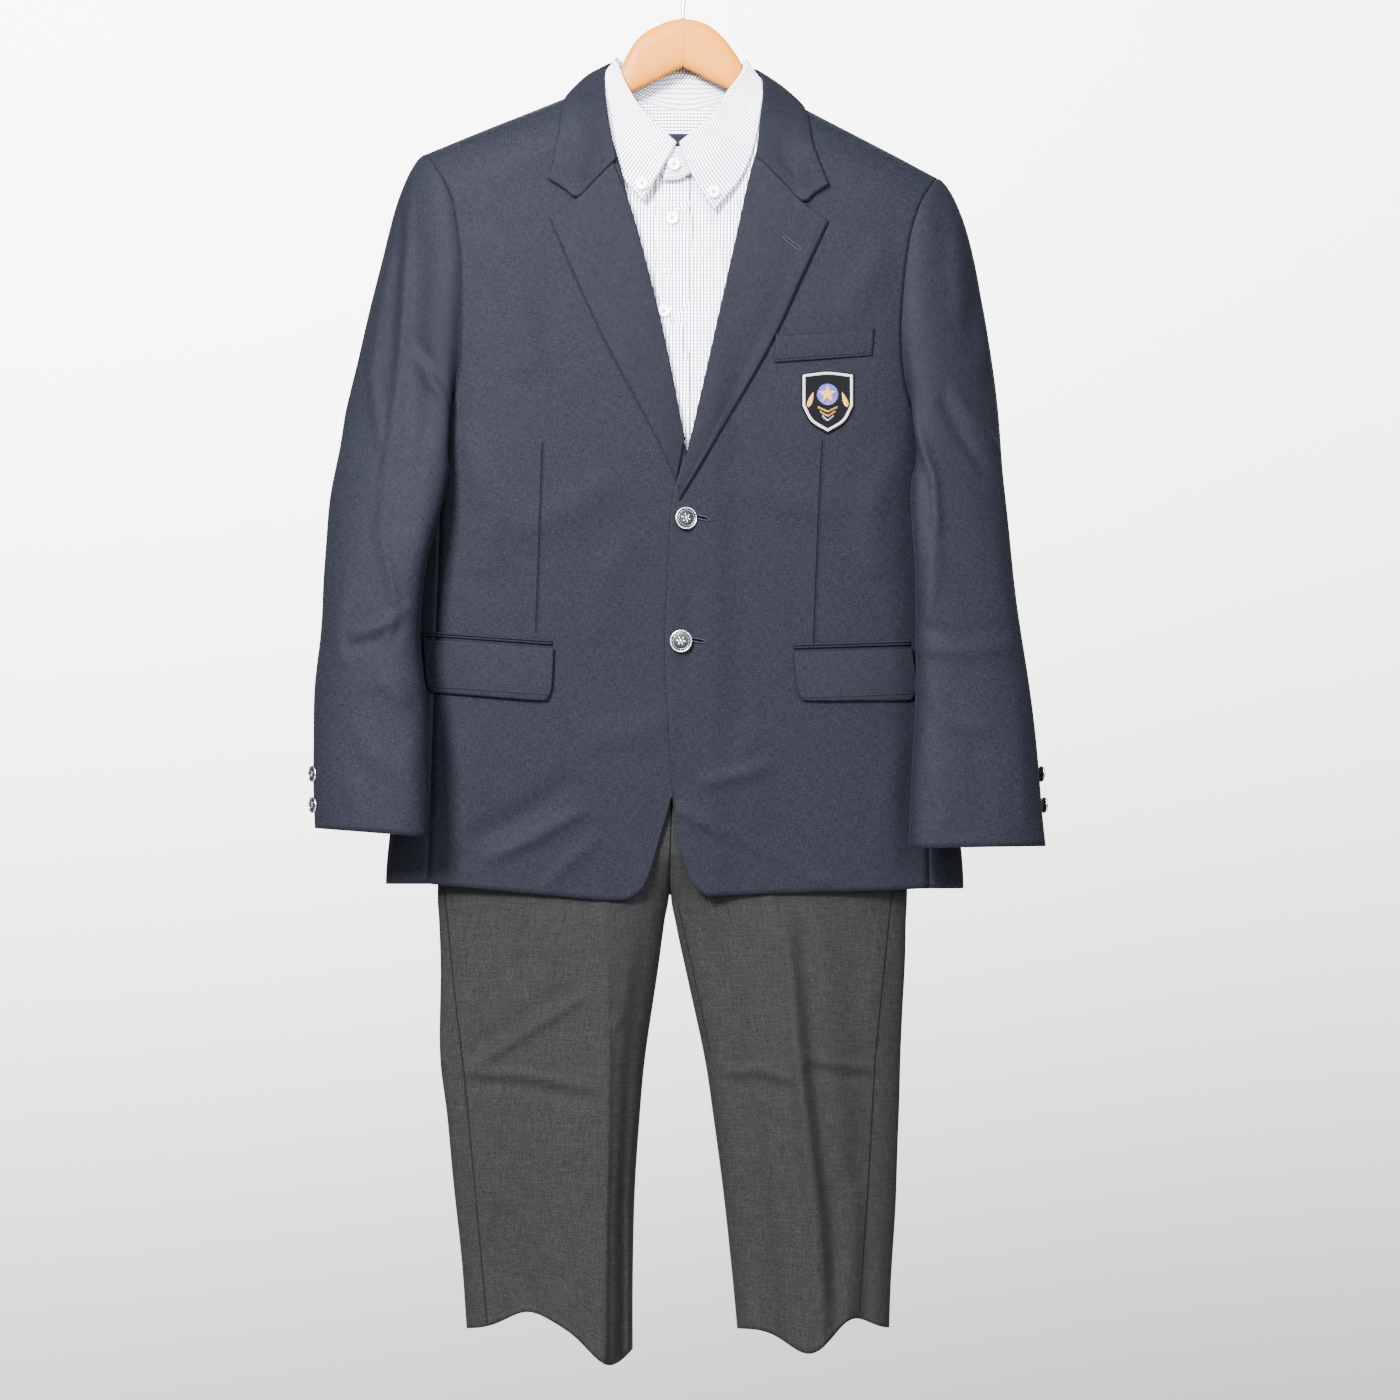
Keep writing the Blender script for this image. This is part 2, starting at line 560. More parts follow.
crown = chain(curve(tops[0], even(2 * SHIRT_FINE)),
              curve([tops[0][1], (-35, -133), (0, -141), (34, -134), tops[1][1]], even(5 * SHIRT_FINE)),
              curve(tops[1][::-1], even(2 * SHIRT_FINE)))
ends = [curve([low[-1], hole[-1]], crowded(4 * SHIRT_FINE))
        for low, hole in ((left_low, left_hole), (right_low, right_hole))]
flat = coons(curve([left_low[-1], right_low[-1]], both), crown, *ends)
points, normals = SHIRT.cover(flat, behind=True, out=np.full(flat.shape[:2], -0.2))
yoke = skin("shirt_yoke_panel", draw_in(points, ("left", "right", "top", "bottom")), normals, plain_cotton,
            ["shirt_yoke"], uv=flat[..., ::-1] * MM, thick=SHIRT_WALL)
cut(points)


# The shirt's collar is a standing band and a top-stitched leaf that falls over it, with buttoned
# points. The placket is a folded strip that pinches at its top. A bare navy label sits inside.
# Each station is a line of points round the neck, from the top edge to the outer edge.
LEAF_LEFT = [[(-5.6, -38.5, -168.3), (-23, -38, -198), (-36.3, -34, -221.4)],
             [(-33.6, -30, -142), (-46, -29, -170), (-58, -27, -194)],
             [(-47, -21, -123), (-58, -22, -143), (-69, -24, -163)],
             [(-57.5, -11, -102), (-65.5, -12, -118), (-73, -15, -134)],
             [(-60.5, 0, -92), (-68.5, 0, -102.5), (-75, 0, -109.5)],
             [(-53, 9, -97), (-59, 9.5, -110), (-65, 9.5, -123)],
             [(-32, 15, -105), (-38, 16.5, -122), (-43, 17, -138)]]
LEAF_RIGHT = [[(-3.4, -38.5, -168.3), (9, -38, -198), (28.4, -34, -229.5)],
              [(27, -30, -143), (42, -29, -172), (54, -27, -198)],
              [(41, -21, -121), (55, -22, -143), (66, -24, -164)],
              [(54, -11, -104), (62, -12, -119), (70, -15, -137)],
              [(57.5, 0, -94), (65.5, 0, -105), (73, 0, -114.5)],
              [(50, 9, -99), (56, 9.5, -112), (62, 9.5, -126)],
              [(30, 15, -105), (36, 16.5, -123), (41, 17, -139)]]
BAND_LEFT = [[(2, -32.2, -172), (-1, -28.2, -200)], [(-13, -32.2, -170), (-18, -28.2, -198)],
             [(-33, -27, -148), (-44, -25.5, -170)],
             [(-46, -18, -128), (-56, -18.5, -146)], [(-55.5, -9, -105), (-62, -9.5, -119)],
             [(-58.5, 0, -95), (-65, 0, -107)], [(-51, 8.5, -101), (-55.5, 9.5, -119)],
             [(-31, 12, -110), (-36, 13, -133)]]
BAND_RIGHT = [[(-13, -35, -173), (-18, -31, -203)], [(5, -35.2, -170), (3, -31, -199)],
              [(27, -28, -148), (38, -26, -170)],
              [(40, -18, -126), (51, -18.5, -146)], [(52, -9, -107), (58.5, -9.5, -121)],
              [(55.5, 0, -97), (62, 0, -109.5)], [(48, 8.5, -103), (52.5, 9.5, -121)],
              [(29, 12, -110), (34, 13, -134)]]


def neck_ring(left, middle, right, columns, rows):
    """A grid from stations carried round the neck: the left ones, the middle, the right ones in turn."""
    stations = left + middle + right[::-1]
    lines = np.array([curve(station, even(rows)) for station in stations])
    return np.stack([curve(lines[:, row], even(columns)) for row in range(rows + 1)])


def seat_on(grid, x, z):
    """The point of a grid in front that is seen at (x, z), and the unit normal there."""
    away = np.hypot(grid[..., 0] - x, grid[..., 2] - z) + np.where(grid[..., 1] > 0, 1000.0, 0.0)
    row, column = np.unravel_index(np.argmin(away), away.shape)
    return grid[row, column], grid_normals(grid)[row, column]


def frame_of(normal):
    """Two unit vectors across and up, square to the normal."""
    normal = np.asarray(normal, float) / np.linalg.norm(normal)
    across = np.cross(normal, (0, 0, 1.0))
    across /= np.linalg.norm(across)
    return normal, across, np.cross(across, normal)


def turned(name, centre, normal, profile, finish, nodes=(), sides=40, spin=0.0):
    """A turned piece: a smooth line through (radius, height) rows, foot to crown, about the normal."""
    normal, across, up = frame_of(normal)
    profile = curve(profile, even(18))
    turn = spin + angles(sides)
    spokes = np.cos(turn)[:, None] * across + np.sin(turn)[:, None] * up
    rings = np.asarray(centre) + profile[:, :1, None] * spokes[None] + profile[:, 1:, None] * normal
    made = skin(name, rings, spokes[None] + 0 * rings, finish, nodes, round_about=True, capped=True)
    made.data.shade_smooth()
    return made


leaf_check = checked_cotton("collar_cotton", [(False, 0.0045)])
leaf = neck_ring(LEAF_LEFT, [[(0, 15, -102), (0, 17, -124), (0, 17.5, -145)]], LEAF_RIGHT, 150, 22)
leaf = SHIRT.clear(leaf, SHIRT_CLOTH + 1.5 * LAYER_GAP)
leaf_out = grid_normals(leaf)
rows, columns = np.mgrid[0:leaf.shape[0], 0:leaf.shape[1]] / (np.array(leaf.shape[:2]) - 1)[:, None, None]
roll = np.exp(-(rows / 0.13)**2) * 1.1 - 0.4 * np.sin(np.pi * rows) + 0.5 * np.sin(9 * np.pi * columns) * rows
leaf = leaf + (roll * np.where(leaf[..., 1] > 0, 0.2, 0.8))[..., None] * leaf_out
across, down = span(leaf)
leaf_uv = np.stack([across.mean(axis=0, keepdims=True) + 0 * across, down[-1:] - down], axis=-1)
collar = skin("shirt_collar_leaf", leaf, leaf_out, leaf_check, ["shirt_collar"],
              uv=leaf_uv, thick=SHIRT_CLOTH * 1.1)
cut(leaf)
band = neck_ring(BAND_LEFT, [[(-2, 12, -105), (0, 12.8, -143)]], BAND_RIGHT, 150, 10)
band_out = grid_normals(band)
stand = skin("shirt_band_ring", band, band_out, plain_cotton, ["shirt_band"], thick=SHIRT_CLOTH)
cut(band)
flat = patch([(-25, -640), (7, -640)], [(-25, -200), (7, -199)], 12, 150)
flat[..., 0] += 1.6 * np.exp(-((flat[..., 1] + 246) / 16)**2) - 1.2 * np.exp(-((flat[..., 1] + 226) / 8)**2)
points, normals = SHIRT.cover(flat, out=1.4 + np.maximum(folds(flat, SHIRT_FOLDS[:2]), 0) * 0.8)
placket_check = checked_cotton("placket_cotton", [(True, 0.004), (True, 0.028)])
strip = skin("shirt_placket_strip", points, normals, placket_check, ["shirt_placket"],
             uv=(flat - (-25, 0)) * MM, thick=0.9)
cut(points)
pearl = Finish("pearl", Roughness=0.22, Coat_Weight=0.5, Coat_Roughness=0.12, Specular_IOR_Level=0.6)
clouds = pearl.noise(pearl.where((90.0, 90.0, 90.0)), 3.0, 2.0)
pearl.feed(pearl.blend(clouds, (0.90, 0.90, 0.84, 1.0), (0.72, 0.74, 0.72, 1.0)), clouds * 0.15 + 0.15)
white_thread = Finish("white_thread", Base_Color=(0.35, 0.35, 0.40, 1.0), Roughness=0.8)
dark_hole = Finish("button_hole", Base_Color=(0.03, 0.03, 0.035, 1.0), Roughness=0.7)


def shirt_button(name, node, seat, normal, spin):
    """A four-hole button with a dished middle, holes, and two crossing threads."""
    turned(name, seat, normal, [(2.2, 0.0), (4.8, 0.15), (5.6, 0.8), (5.45, 1.6), (4.7, 1.95), (3.7, 1.6),
                                (1.2, 1.35)], pearl, [node])
    normal, across, up = frame_of(normal)
    ways = [np.cos(angle) * across + np.sin(angle) * up
            for angle in spin + np.pi / 4 + np.arange(4) * np.pi / 2]
    for k, way in enumerate(ways):
        turned(f"{name}_hole_{k}", seat + 1.5 * way, normal, [(0.55, 1.36), (0.55, 1.42), (0.3, 1.44)],
               dark_hole, sides=10)
    for k, way in enumerate(ways[:2]):
        line = curve([seat + out * way + rise * normal
                      for out, rise in ((1.6, 1.2), (1.12, 1.85), (-1.12, 1.85), (-1.6, 1.2))], even(10))
        rings = bar(line, 0.28, 6, normal)
        skin(f"{name}_thread_{k}", rings, rings - line[:, None], white_thread,
             round_about=True, capped=True)


for name, grid, x, z, spin in (("neck_button", band, -6.5, -188, 0.2),
                               ("collar_button_left", leaf, -36.0, -205.2, 0.6),
                               ("collar_button_right", leaf, 26.1, -212.5, -0.3)):
    seat, normal = seat_on(grid, x, z)
    shirt_button(f"{name}_disc", name, seat + 0.9 * normal, normal, spin)
for name, x, z, spin in (("shirt_button_upper", -9.5, -236.7, 0.1), ("shirt_button_lower", -17.1, -320.4, 0.5)):
    seats, normals = SHIRT.cover(np.array([[x, z]]), out=np.array([2.0]))
    shirt_button(f"{name}_disc", name, seats[0], normals[0], spin)
navy_tape = Finish("label_tape", Roughness=0.6, Specular_IOR_Level=0.1)
weave = navy_tape.where((1.0, 1.0, 1.0), on_cloth=True)
ribs = navy_tape.axis(weave, "Y").lines(0.0007, 0.0003, 0.0001)
tape_blue = navy_tape.blend(ribs * 0.3, (0.0016, 0.0016, 0.009, 1.0), (0.005, 0.005, 0.018, 1.0))
navy_tape.feed(tape_blue, height=ribs, depth=0.0001)
flat = patch([(-14, -176), (7, -176)], [(-14, -161), (7, -161)], 14, 10)
points, normals = SHIRT.cover(flat, True, -SHIRT_CLOTH - 0.5 + 0 * flat[..., 0])
label = skin("neck_label_tape", points, -normals, navy_tape, ["neck_label"], thick=0.5)
cut(points)


# The blazer is navy worsted wool, fused in front, 2 mm thick with its lining, single-breasted
# with two buttons. Its fronts, side panels and two backs are pressed seams apart, and the viewer's
# right front laps over the left. Two darts shape the waist.
JACKET_CLOTH, FINE, SIGNS = 2.0, 5, {"left": -1, "right": 1}
# Columns: height, left side edge, right side edge, depth in front, depth behind.
JACKET = Body(0.0, [
    (-60, -262, 258, 24, 22), (-180, -262, 258, 31, 23), (-300, -245, 240, 40, 25),
    (-418, -232, 227, 44, 25), (-535, -244, 231, 43, 22), (-670, -255, 240, 40, 20),
    (-840, -268, 253, 38, 18)])
LEFT_ROLL = [(1.3, -436.5), (-20.2, -331.2), (-45.5, -234.9), (-58, -183)]
RIGHT_ROLL = [(7.6, -436.5), (40.5, -293.4), (63, -191.7), (64.5, -182)]
# Columns: x and height down each armhole seam, from the shoulder, then down the side seam.
ARMHOLES = {
    "left": [(-231.3, -179.1), (-216, -202.5), (-207.9, -222.3), (-203.4, -250.2), (-200.7, -277.2),
             (-200.7, -337.5), (-204.3, -383.4), (-219, -421)],
    "right": [(228.2, -200.7), (215.1, -221.4), (206.6, -246.6), (201.6, -276.3), (198, -314.1),
              (197, -345), (201, -387), (214, -423)]}
SIDE_SEAMS = {"left": [(-219, -421), (-219.1, -517.5), (-222.3, -609.3), (-229.5, -836)],
              "right": [(214, -423), (214.5, -517.5), (217, -609.3), (222, -840)]}
# Columns: the line of each fold on the fronts, its width and its height.
FRONT_FOLDS = [
    ([(-179, -816), (-133, -795), (-86, -768)], 5, 2.8),
    ([(-196, -800), (-140, -772), (-98, -742)], 9, -2.0),
    ([(-127, -842), (-100, -815), (-76, -793)], 5, 1.8), ([(-7, -768), (51, -795), (135, -840)], 6, 2.8),
    ([(14, -746), (47, -739), (82, -729)], 6, 1.8), ([(20, -780), (70, -806), (120, -832)], 8, -1.8),
    ([(-190, -250), (-150, -300), (-140, -380)], 16, 1.6),
    ([(188, -260), (160, -300), (150, -330)], 14, 1.2),
    ([(-196, -430), (-170, -500), (-176, -560)], 14, 1.8),
    ([(-60, -470), (-100, -500), (-160, -520)], 15, 1.2),
    ([(40, -470), (90, -490), (150, -500)], 15, 1.1), ([(196, -440), (170, -500), (176, -560)], 14, 1.7),
    ([(-40, -520), (-70, -560), (-76, -620)], 14, 1.0), ([(-6, -690), (-40, -700), (-90, -705)], 14, 1.0),
    ([(8, -560), (4, -600), (6, -650)], 9, -0.8), ([(-208, -700), (-190, -750), (-200, -810)], 12, 1.5),
    ([(60, -690), (56, -740), (66, -790)], 16, 1.2), ([(200, -700), (188, -760), (196, -820)], 12, 1.4)]
BACK_FOLDS = [
    ([(-150, -180), (-110, -220), (-60, -240)], 16, 1.8),
    ([(150, -190), (112, -226), (60, -244)], 16, 1.8),
    ([(-196, -420), (-150, -470), (-90, -500)], 15, 2.0),
    ([(196, -430), (140, -476), (84, -498)], 15, 1.9),
    ([(-120, -560), (-60, -580), (-10, -586)], 16, 1.4), ([(120, -610), (70, -626), (16, -634)], 16, 1.4),
    ([(-180, -830), (-150, -770), (-140, -690)], 14, 2.0),
    ([(170, -834), (146, -780), (150, -700)], 14, 1.9),
    ([(-80, -842), (-70, -780), (-84, -720)], 16, 1.4), ([(70, -842), (84, -790), (70, -730)], 16, 1.3)]


def lap(flat):
    """How far out the right front lies: one cloth over the left, easing off to nothing."""
    share = np.clip((52.0 - flat[..., 0]) / 26.0, 0.0, 1.0)
    return (2.2 + LAYER_GAP) * share**2 * (3 - 2 * share)


def edge_rows(side):
    """The side edge of a front or back, hem to shoulder, at the points that its seams share."""
    return chain(curve(SIDE_SEAMS[side][::-1], even(18 * FINE)), curve(ARMHOLES[side][::-1], crowded(16 * FINE)))


def runs(lines):
    """The start and end of every straight run of the lines."""
    return [pair for line in lines for pair in zip(line, line[1:])]


def mark(x, z, start, end, width=0.00035, soft=0.0006):
    """1 on a straight line between two points in millimetres, the distance off it, 1 along it."""
    (x0, z0), (x1, z1) = np.array(start) * MM, np.array(end) * MM
    steep = abs(z1 - z0) > abs(x1 - x0)
    along = (z - z0) / (z1 - z0) if steep else (x - x0) / (x1 - x0)
    off = (x - x0 - along * (x1 - x0)) if steep else (z - z0 - along * (z1 - z0))
    reach = (along - 0.5).near(0.495, 0.01)
    return off.near(width, soft) * reach, off, reach


def navy_wool(name, marks=(), grain=1.0):
    """Worsted wool: a fine twill of yarn flecks under a soft nap, darker in the seams and darts."""
    wool = Finish(name, Specular_IOR_Level=0.03, Sheen_Weight=0.010, Sheen_Roughness=0.35,
                  Sheen_Tint=(0.70, 0.78, 1.0, 1.0))
    cloth = wool.where(on_cloth=True)
    x, z = wool.axis(cloth, "X"), wool.axis(cloth, "Y")
    flecks = wool.specks(1500.0, 2.0)
    mottle = wool.specks(60.0, 4.0)
    twill = ((x + z) * (6283.0 / 1.3)).math("SINE") * 0.5 + 0.5
    picks = wool.yarns(170.0, 1100.0, 2.0) - 0.5
    ends = wool.yarns(1100.0, 170.0, 2.0) - 0.5
    share = ((flecks - 0.5) * 1.8 + (picks + ends) * 1.15 + 0.5).math("MAXIMUM", 0.0).math("MINIMUM", 1.0)
    colour = wool.blend(share, (0.0018, 0.0021, 0.0036, 1.0), (0.0080, 0.0086, 0.0126, 1.0))
    colour = wool.blend(mottle * 0.3, colour, (0.0036, 0.0040, 0.0063, 1.0))
    height = flecks * 0.9 + picks * 0.6 + twill * 0.35 * grain + mottle * 2.0
    for start, end in runs(marks):
        line, off, reach = mark(x, z, start, end)
        side = off.near(0.0012, 0.0012) * off.math("GREATER_THAN", 0.0) * reach
        colour = wool.blend(line * 0.6, colour, (0.0010, 0.0011, 0.0018, 1.0))
        height = height - line * 4.0 + side * 1.6
    return wool.feed(colour, mottle * 0.12 + 0.52, height, 0.00022)


plain_wool = navy_wool("navy_worsted")
left_front_wool = navy_wool("navy_worsted_left", [[(-126, -439), (-129, -526), (-132, -610)]])
right_front_wool = navy_wool("navy_worsted_right", [[(126, -436), (123, -490), (118, -620)]])
for side in ("left", "right"):
    if side == "left":
        hem = chain(curve([(-229.5, -836), (-134, -845), (-74.7, -850.5), (-50, -850.5)], even(6 * FINE)),
                    curve([(-50, -850.5), (-38.7, -843.3), (-30.6, -827.5), (-19.8, -791),
                           (-10.8, -760.5)], even(4 * FINE)))
        edge = chain(curve([(-10.8, -760.5), (8, -700), (16, -640), (18, -560), (16, -500),
                            (1.3, -436.5)], even(18 * FINE)),
                     curve(LEFT_ROLL + [(-79, -118.5)], crowded(16 * FINE)))
        flat = coons(hem, curve([(-231.3, -179.1), (-79, -118.5)], even(10 * FINE)), edge_rows("left"), edge)
        rise, seams, finish = 0.0, ("left", "top"), left_front_wool
    else:
        hem = chain(curve([(-8.1, -760.5), (-3, -797.4), (6.3, -831.6), (13.5, -841.5),
                           (22.5, -847.3)], even(4 * FINE)),
                    curve([(22.5, -847.3), (82, -844.6), (166.5, -842.4), (222, -840)], even(6 * FINE)))
        edge = chain(curve([(-8.1, -760.5), (-13.5, -683), (-16.2, -622), (-12.6, -543), (-10.4, -497),
                            (-4, -468), (7.6, -436.5)], even(18 * FINE)),
                     curve(RIGHT_ROLL + [(80, -122.7)], crowded(16 * FINE)))
        flat = coons(hem, curve([(80, -122.7), (228.2, -200.7)], even(10 * FINE)), edge, edge_rows("right"))
        rise, seams, finish = lap(flat), ("right", "top"), right_front_wool
    under_flap = np.exp(-((np.abs(flat[..., 0]) - 160) / 50)**2 - ((flat[..., 1] + 625) / 40)**2)
    creased = (1.5 * folds(flat, FRONT_FOLDS) + rumple(flat, 11 + len(side), 120, 1.0)) * (1 - 0.6 * under_flap)
    points, normals = JACKET.cover(flat, out=rise + creased * fade(flat.shape[1] - 1, 12))
    front = skin(f"jacket_front_panel_{side}", draw_in(points, seams), normals, finish,
                 [f"jacket_front_{side}"], uv=flat * MM, thick=JACKET_CLOTH)
    cut(points)
middle = chain(curve([(-6, -846), (-3, -600), (0, -430)], even(18 * FINE)),
               curve([(0, -430), (0, -133)], crowded(16 * FINE)))
for side, top, hem in (("left", [(-231.3, -179.1), (-79, -118.5)], [(-229.5, -836), (-6, -846)]),
                       ("right", [(228.2, -200.7), (80, -122.7)], [(222, -840), (-6, -846)])):
    neck = curve([top[1], (top[1][0] * 0.84, -129), (top[1][0] * 0.5, -133), (0, -133)], even(4 * FINE))
    flat = coons(curve(hem, even(8 * FINE)), chain(curve(top, even(4 * FINE)), neck), edge_rows(side), middle)
    creased = 1.4 * folds(flat, BACK_FOLDS) + rumple(flat, 23, 140, 1.0)
    points, normals = JACKET.cover(flat, True, creased * fade(8 * FINE, 10))
    back = skin(f"jacket_back_panel_{side}", draw_in(points, ("left", "right", "top")), normals, plain_wool,
                [f"jacket_back_{side}"], uv=flat * MM, thick=JACKET_CLOTH)
    cut(points)


def side_grid(side, columns, rows):
    """The side panel from the front seam round to the back seam, dipping 10 mm under the arm."""
    sign = SIGNS[side]
    seam = curve(SIDE_SEAMS[side][::-1], even(rows))
    left, right, front, back = JACKET.read(seam[:, 1])
    turn = np.arcsin(np.abs(2 * seam[:, 0] - left - right) / (right - left))[:, None]
    share = even(columns)[None]
    angle = turn + (np.pi - 2 * turn) * share
    depth = np.where(np.cos(angle) > 0, -front[:, None], back[:, None]) * np.abs(np.cos(angle))
    dip = 10.0 * np.sin(np.pi * share) * even(rows)[:, None]**4
    return np.stack([(left + right)[:, None] / 2 + sign * (right - left)[:, None] / 2 * np.sin(angle),
                     depth * (1 + np.sin(angle)**2 / 2), seam[:, 1:] - dip + 0 * angle], axis=-1)


for side in ("left", "right"):
    grid = side_grid(side, 5 * FINE, 18 * FINE)
    normals = JACKET.facing(grid)
    share = even(5 * FINE)[None] + 0 * grid[..., 0]
    wave = np.sin(np.pi * share) * rumple(np.stack([share * 90, grid[..., 2]], axis=-1), 31, 70, 1.6)
    waved = draw_in(grid + wave[..., None] * normals, ("left", "right", "top"))
    panel = skin(f"jacket_side_panel_{side}", waved, normals, plain_wool, [f"jacket_side_{side}"],
                 thick=JACKET_CLOTH)
    cut(grid)


# The sleeves are an upper piece over the front and outside and an under one, set in with a soft
# roll. They hang forward, creased where the arm bends, and the shirt's short sleeves hang inside.
CAP_SPREAD, CAP_DROP, CAP_ROWS, ARM_GAP, ROUND, DOWN = 26.0, 78.0, 5, 4.5, 5, 9
# Columns: height, outer edge, inner edge, depth of the middle, half depth in front and behind,
# how far the inner edge swings forward, and how far it hangs lower.
SLEEVES = {
    "left": [(-425, -305.5, -208, -16, 28, 15, 22, 36), (-472.5, -314.6, -216, -30, 30, 20, 18, 22),
             (-535.5, -322.2, -229.5, -42, 31, 24, 14, 12), (-603, -325.8, -235.4, -50, 31, 27, 8, 6),
             (-664, -330.3, -230.4, -56, 30, 28, 6, 2), (-725, -332.1, -227.7, -61, 30, 29, 5, 4),
             (-786, -331.5, -227.7, -66, 30, 29, 5, 8)],
    "right": [(-425, 285, 206, -18, 30, 17, 20, 42), (-472.5, 288.5, 204, -30, 30, 20, 18, 22),
              (-535.5, 295.5, 208, -42, 31, 24, 14, 12), (-603, 304.5, 209.7, -50, 31, 27, 8, 6),
              (-664, 312.5, 210, -56, 30, 28, 6, 2), (-735, 321.5, 206, -62, 30, 29, 5, 2),
              (-802, 327.2, 204.5, -68, 30, 29, 5, 2)]}
# Columns: the line of each fold as it is seen, its width and its height.
SLEEVE_FOLDS = {
    "left": [([(-242, -190), (-247, -246), (-250, -314), (-255, -383), (-264, -452), (-270, -523),
               (-257, -589)], 3.5, 3.4),
             ([(-255, -240), (-270, -301), (-280, -378), (-270, -452)], 4.5, 2.4),
             ([(-254, -230), (-259, -300), (-266, -380)], 4, -1.8),
             ([(-233, -250), (-238, -330), (-240, -420), (-252, -520)], 8, -1.6),
             ([(-246, -354), (-228, -380), (-209, -407)], 5, 1.8),
             ([(-250, -338), (-230, -362), (-212, -388)], 6, -1.2),
             ([(-253, -593), (-274, -606), (-300, -613)], 4, 3.0),
             ([(-259, -600), (-262, -608), (-268, -621)], 3.5, 2.0),
             ([(-253, -591), (-244, -586), (-235, -592)], 4, 1.6),
             ([(-250, -604), (-275, -618), (-304, -624)], 7, -1.6),
             ([(-275, -649), (-259, -662), (-246, -674)], 7, 1.8),
             ([(-300, -560), (-310, -600), (-306, -640)], 8, 1.4),
             ([(-290, -330), (-302, -400), (-306, -470)], 9, 1.6),
             ([(-298, -690), (-280, -720), (-250, -738)], 9, 1.2),
             ([(-240, -700), (-246, -740), (-240, -780)], 9, 1.1),
             ([(-300, -740), (-292, -770), (-296, -790)], 8, 1.0)],
    "right": [([(202, -392), (213, -432), (226, -471), (230, -520)], 4, 3.2),
              ([(232, -396), (252, -434), (276, -471)], 4.5, -2.8),
              ([(240, -388), (262, -422), (288, -448)], 4.5, 2.6),
              ([(204, -237), (216, -243), (230, -248)], 5, 1.5),
              ([(206, -262), (218, -268), (232, -271)], 5, 1.3),
              ([(271, -320), (274, -350), (268, -380)], 8, 1.7),
              ([(210, -622), (250, -627), (300, -622)], 7, 2.0),
              ([(214, -608), (250, -612), (296, -606)], 7, -1.4),
              ([(240, -210), (246, -260), (250, -330)], 7, 1.8),
              ([(258, -240), (264, -300), (262, -350)], 7, -1.3),
              ([(228, -500), (226, -560), (222, -600)], 7, 1.7),
              ([(280, -500), (288, -560), (296, -600)], 8, 1.4),
              ([(222, -660), (240, -690), (280, -700)], 8, 1.4),
              ([(300, -650), (304, -720), (310, -790)], 9, 1.3),
              ([(226, -730), (236, -770), (230, -796)], 9, 1.2),
              ([(262, -700), (270, -750), (266, -796)], 10, -1.0)]}
HIDDEN_FOLDS = {
    "left": [([(-230, -260), (-262, -330), (-270, -420)], 9, 2.2),
             ([(-210, -430), (-250, -470), (-300, -480)], 8, 2.0),
             ([(-236, -560), (-270, -590), (-318, -590)], 8, 2.6),
             ([(-240, -610), (-280, -622), (-316, -640)], 8, 2.0),
             ([(-300, -300), (-306, -380), (-300, -450)], 9, 1.6),
             ([(-250, -680), (-280, -720), (-276, -780)], 10, 1.6)],
    "right": [([(228, -270), (258, -330), (262, -420)], 9, 2.2),
              ([(206, -430), (244, -470), (280, -476)], 8, 2.0),
              ([(214, -570), (250, -596), (300, -592)], 8, 2.5),
              ([(216, -618), (256, -634), (304, -650)], 8, 2.0),
              ([(276, -310), (280, -380), (276, -450)], 9, 1.6),
              ([(230, -690), (256, -730), (256, -790)], 10, 1.6)]}


def armhole_loop(side):
    """The armhole seam as a loop: shoulder, down the front, under the arm, up the back."""
    down = curve(ARMHOLES[side][::-1], crowded(8 * ROUND))[::-1]
    front, _ = JACKET.cover(down)
    back, _ = JACKET.cover(down[::-1], behind=True)
    return np.vstack([front[:-1], side_grid(side, 4 * ROUND, 9)[-1], back[1:-1]])


def sleeve_rings(side, turn, count):
    """Rings below the arm, superellipses |x/a|^2.5 + |y/b|^2.5 = 1 read from the table at even steps."""
    sign = SIGNS[side]
    table = curve(SLEEVES[side], even(240))
    at = even(count - 1) * (len(table) - 1)
    z, outer, inner, middle, front, back, swing, sag = [
        np.interp(at, np.arange(len(table)), table[:, column])[:, None] for column in range(8)]
    across = np.sign(np.cos(turn)) * np.abs(np.cos(turn))**0.8
    around = np.sign(np.sin(turn)) * np.abs(np.sin(turn))**0.8
    half = np.where(around > 0, front, back)
    x = (outer + inner) / 2 + sign * np.abs(outer - inner) / 2 * across
    return np.stack([x, middle - half * around + swing * across, z - sag * (1 - across) / 2], axis=-1)


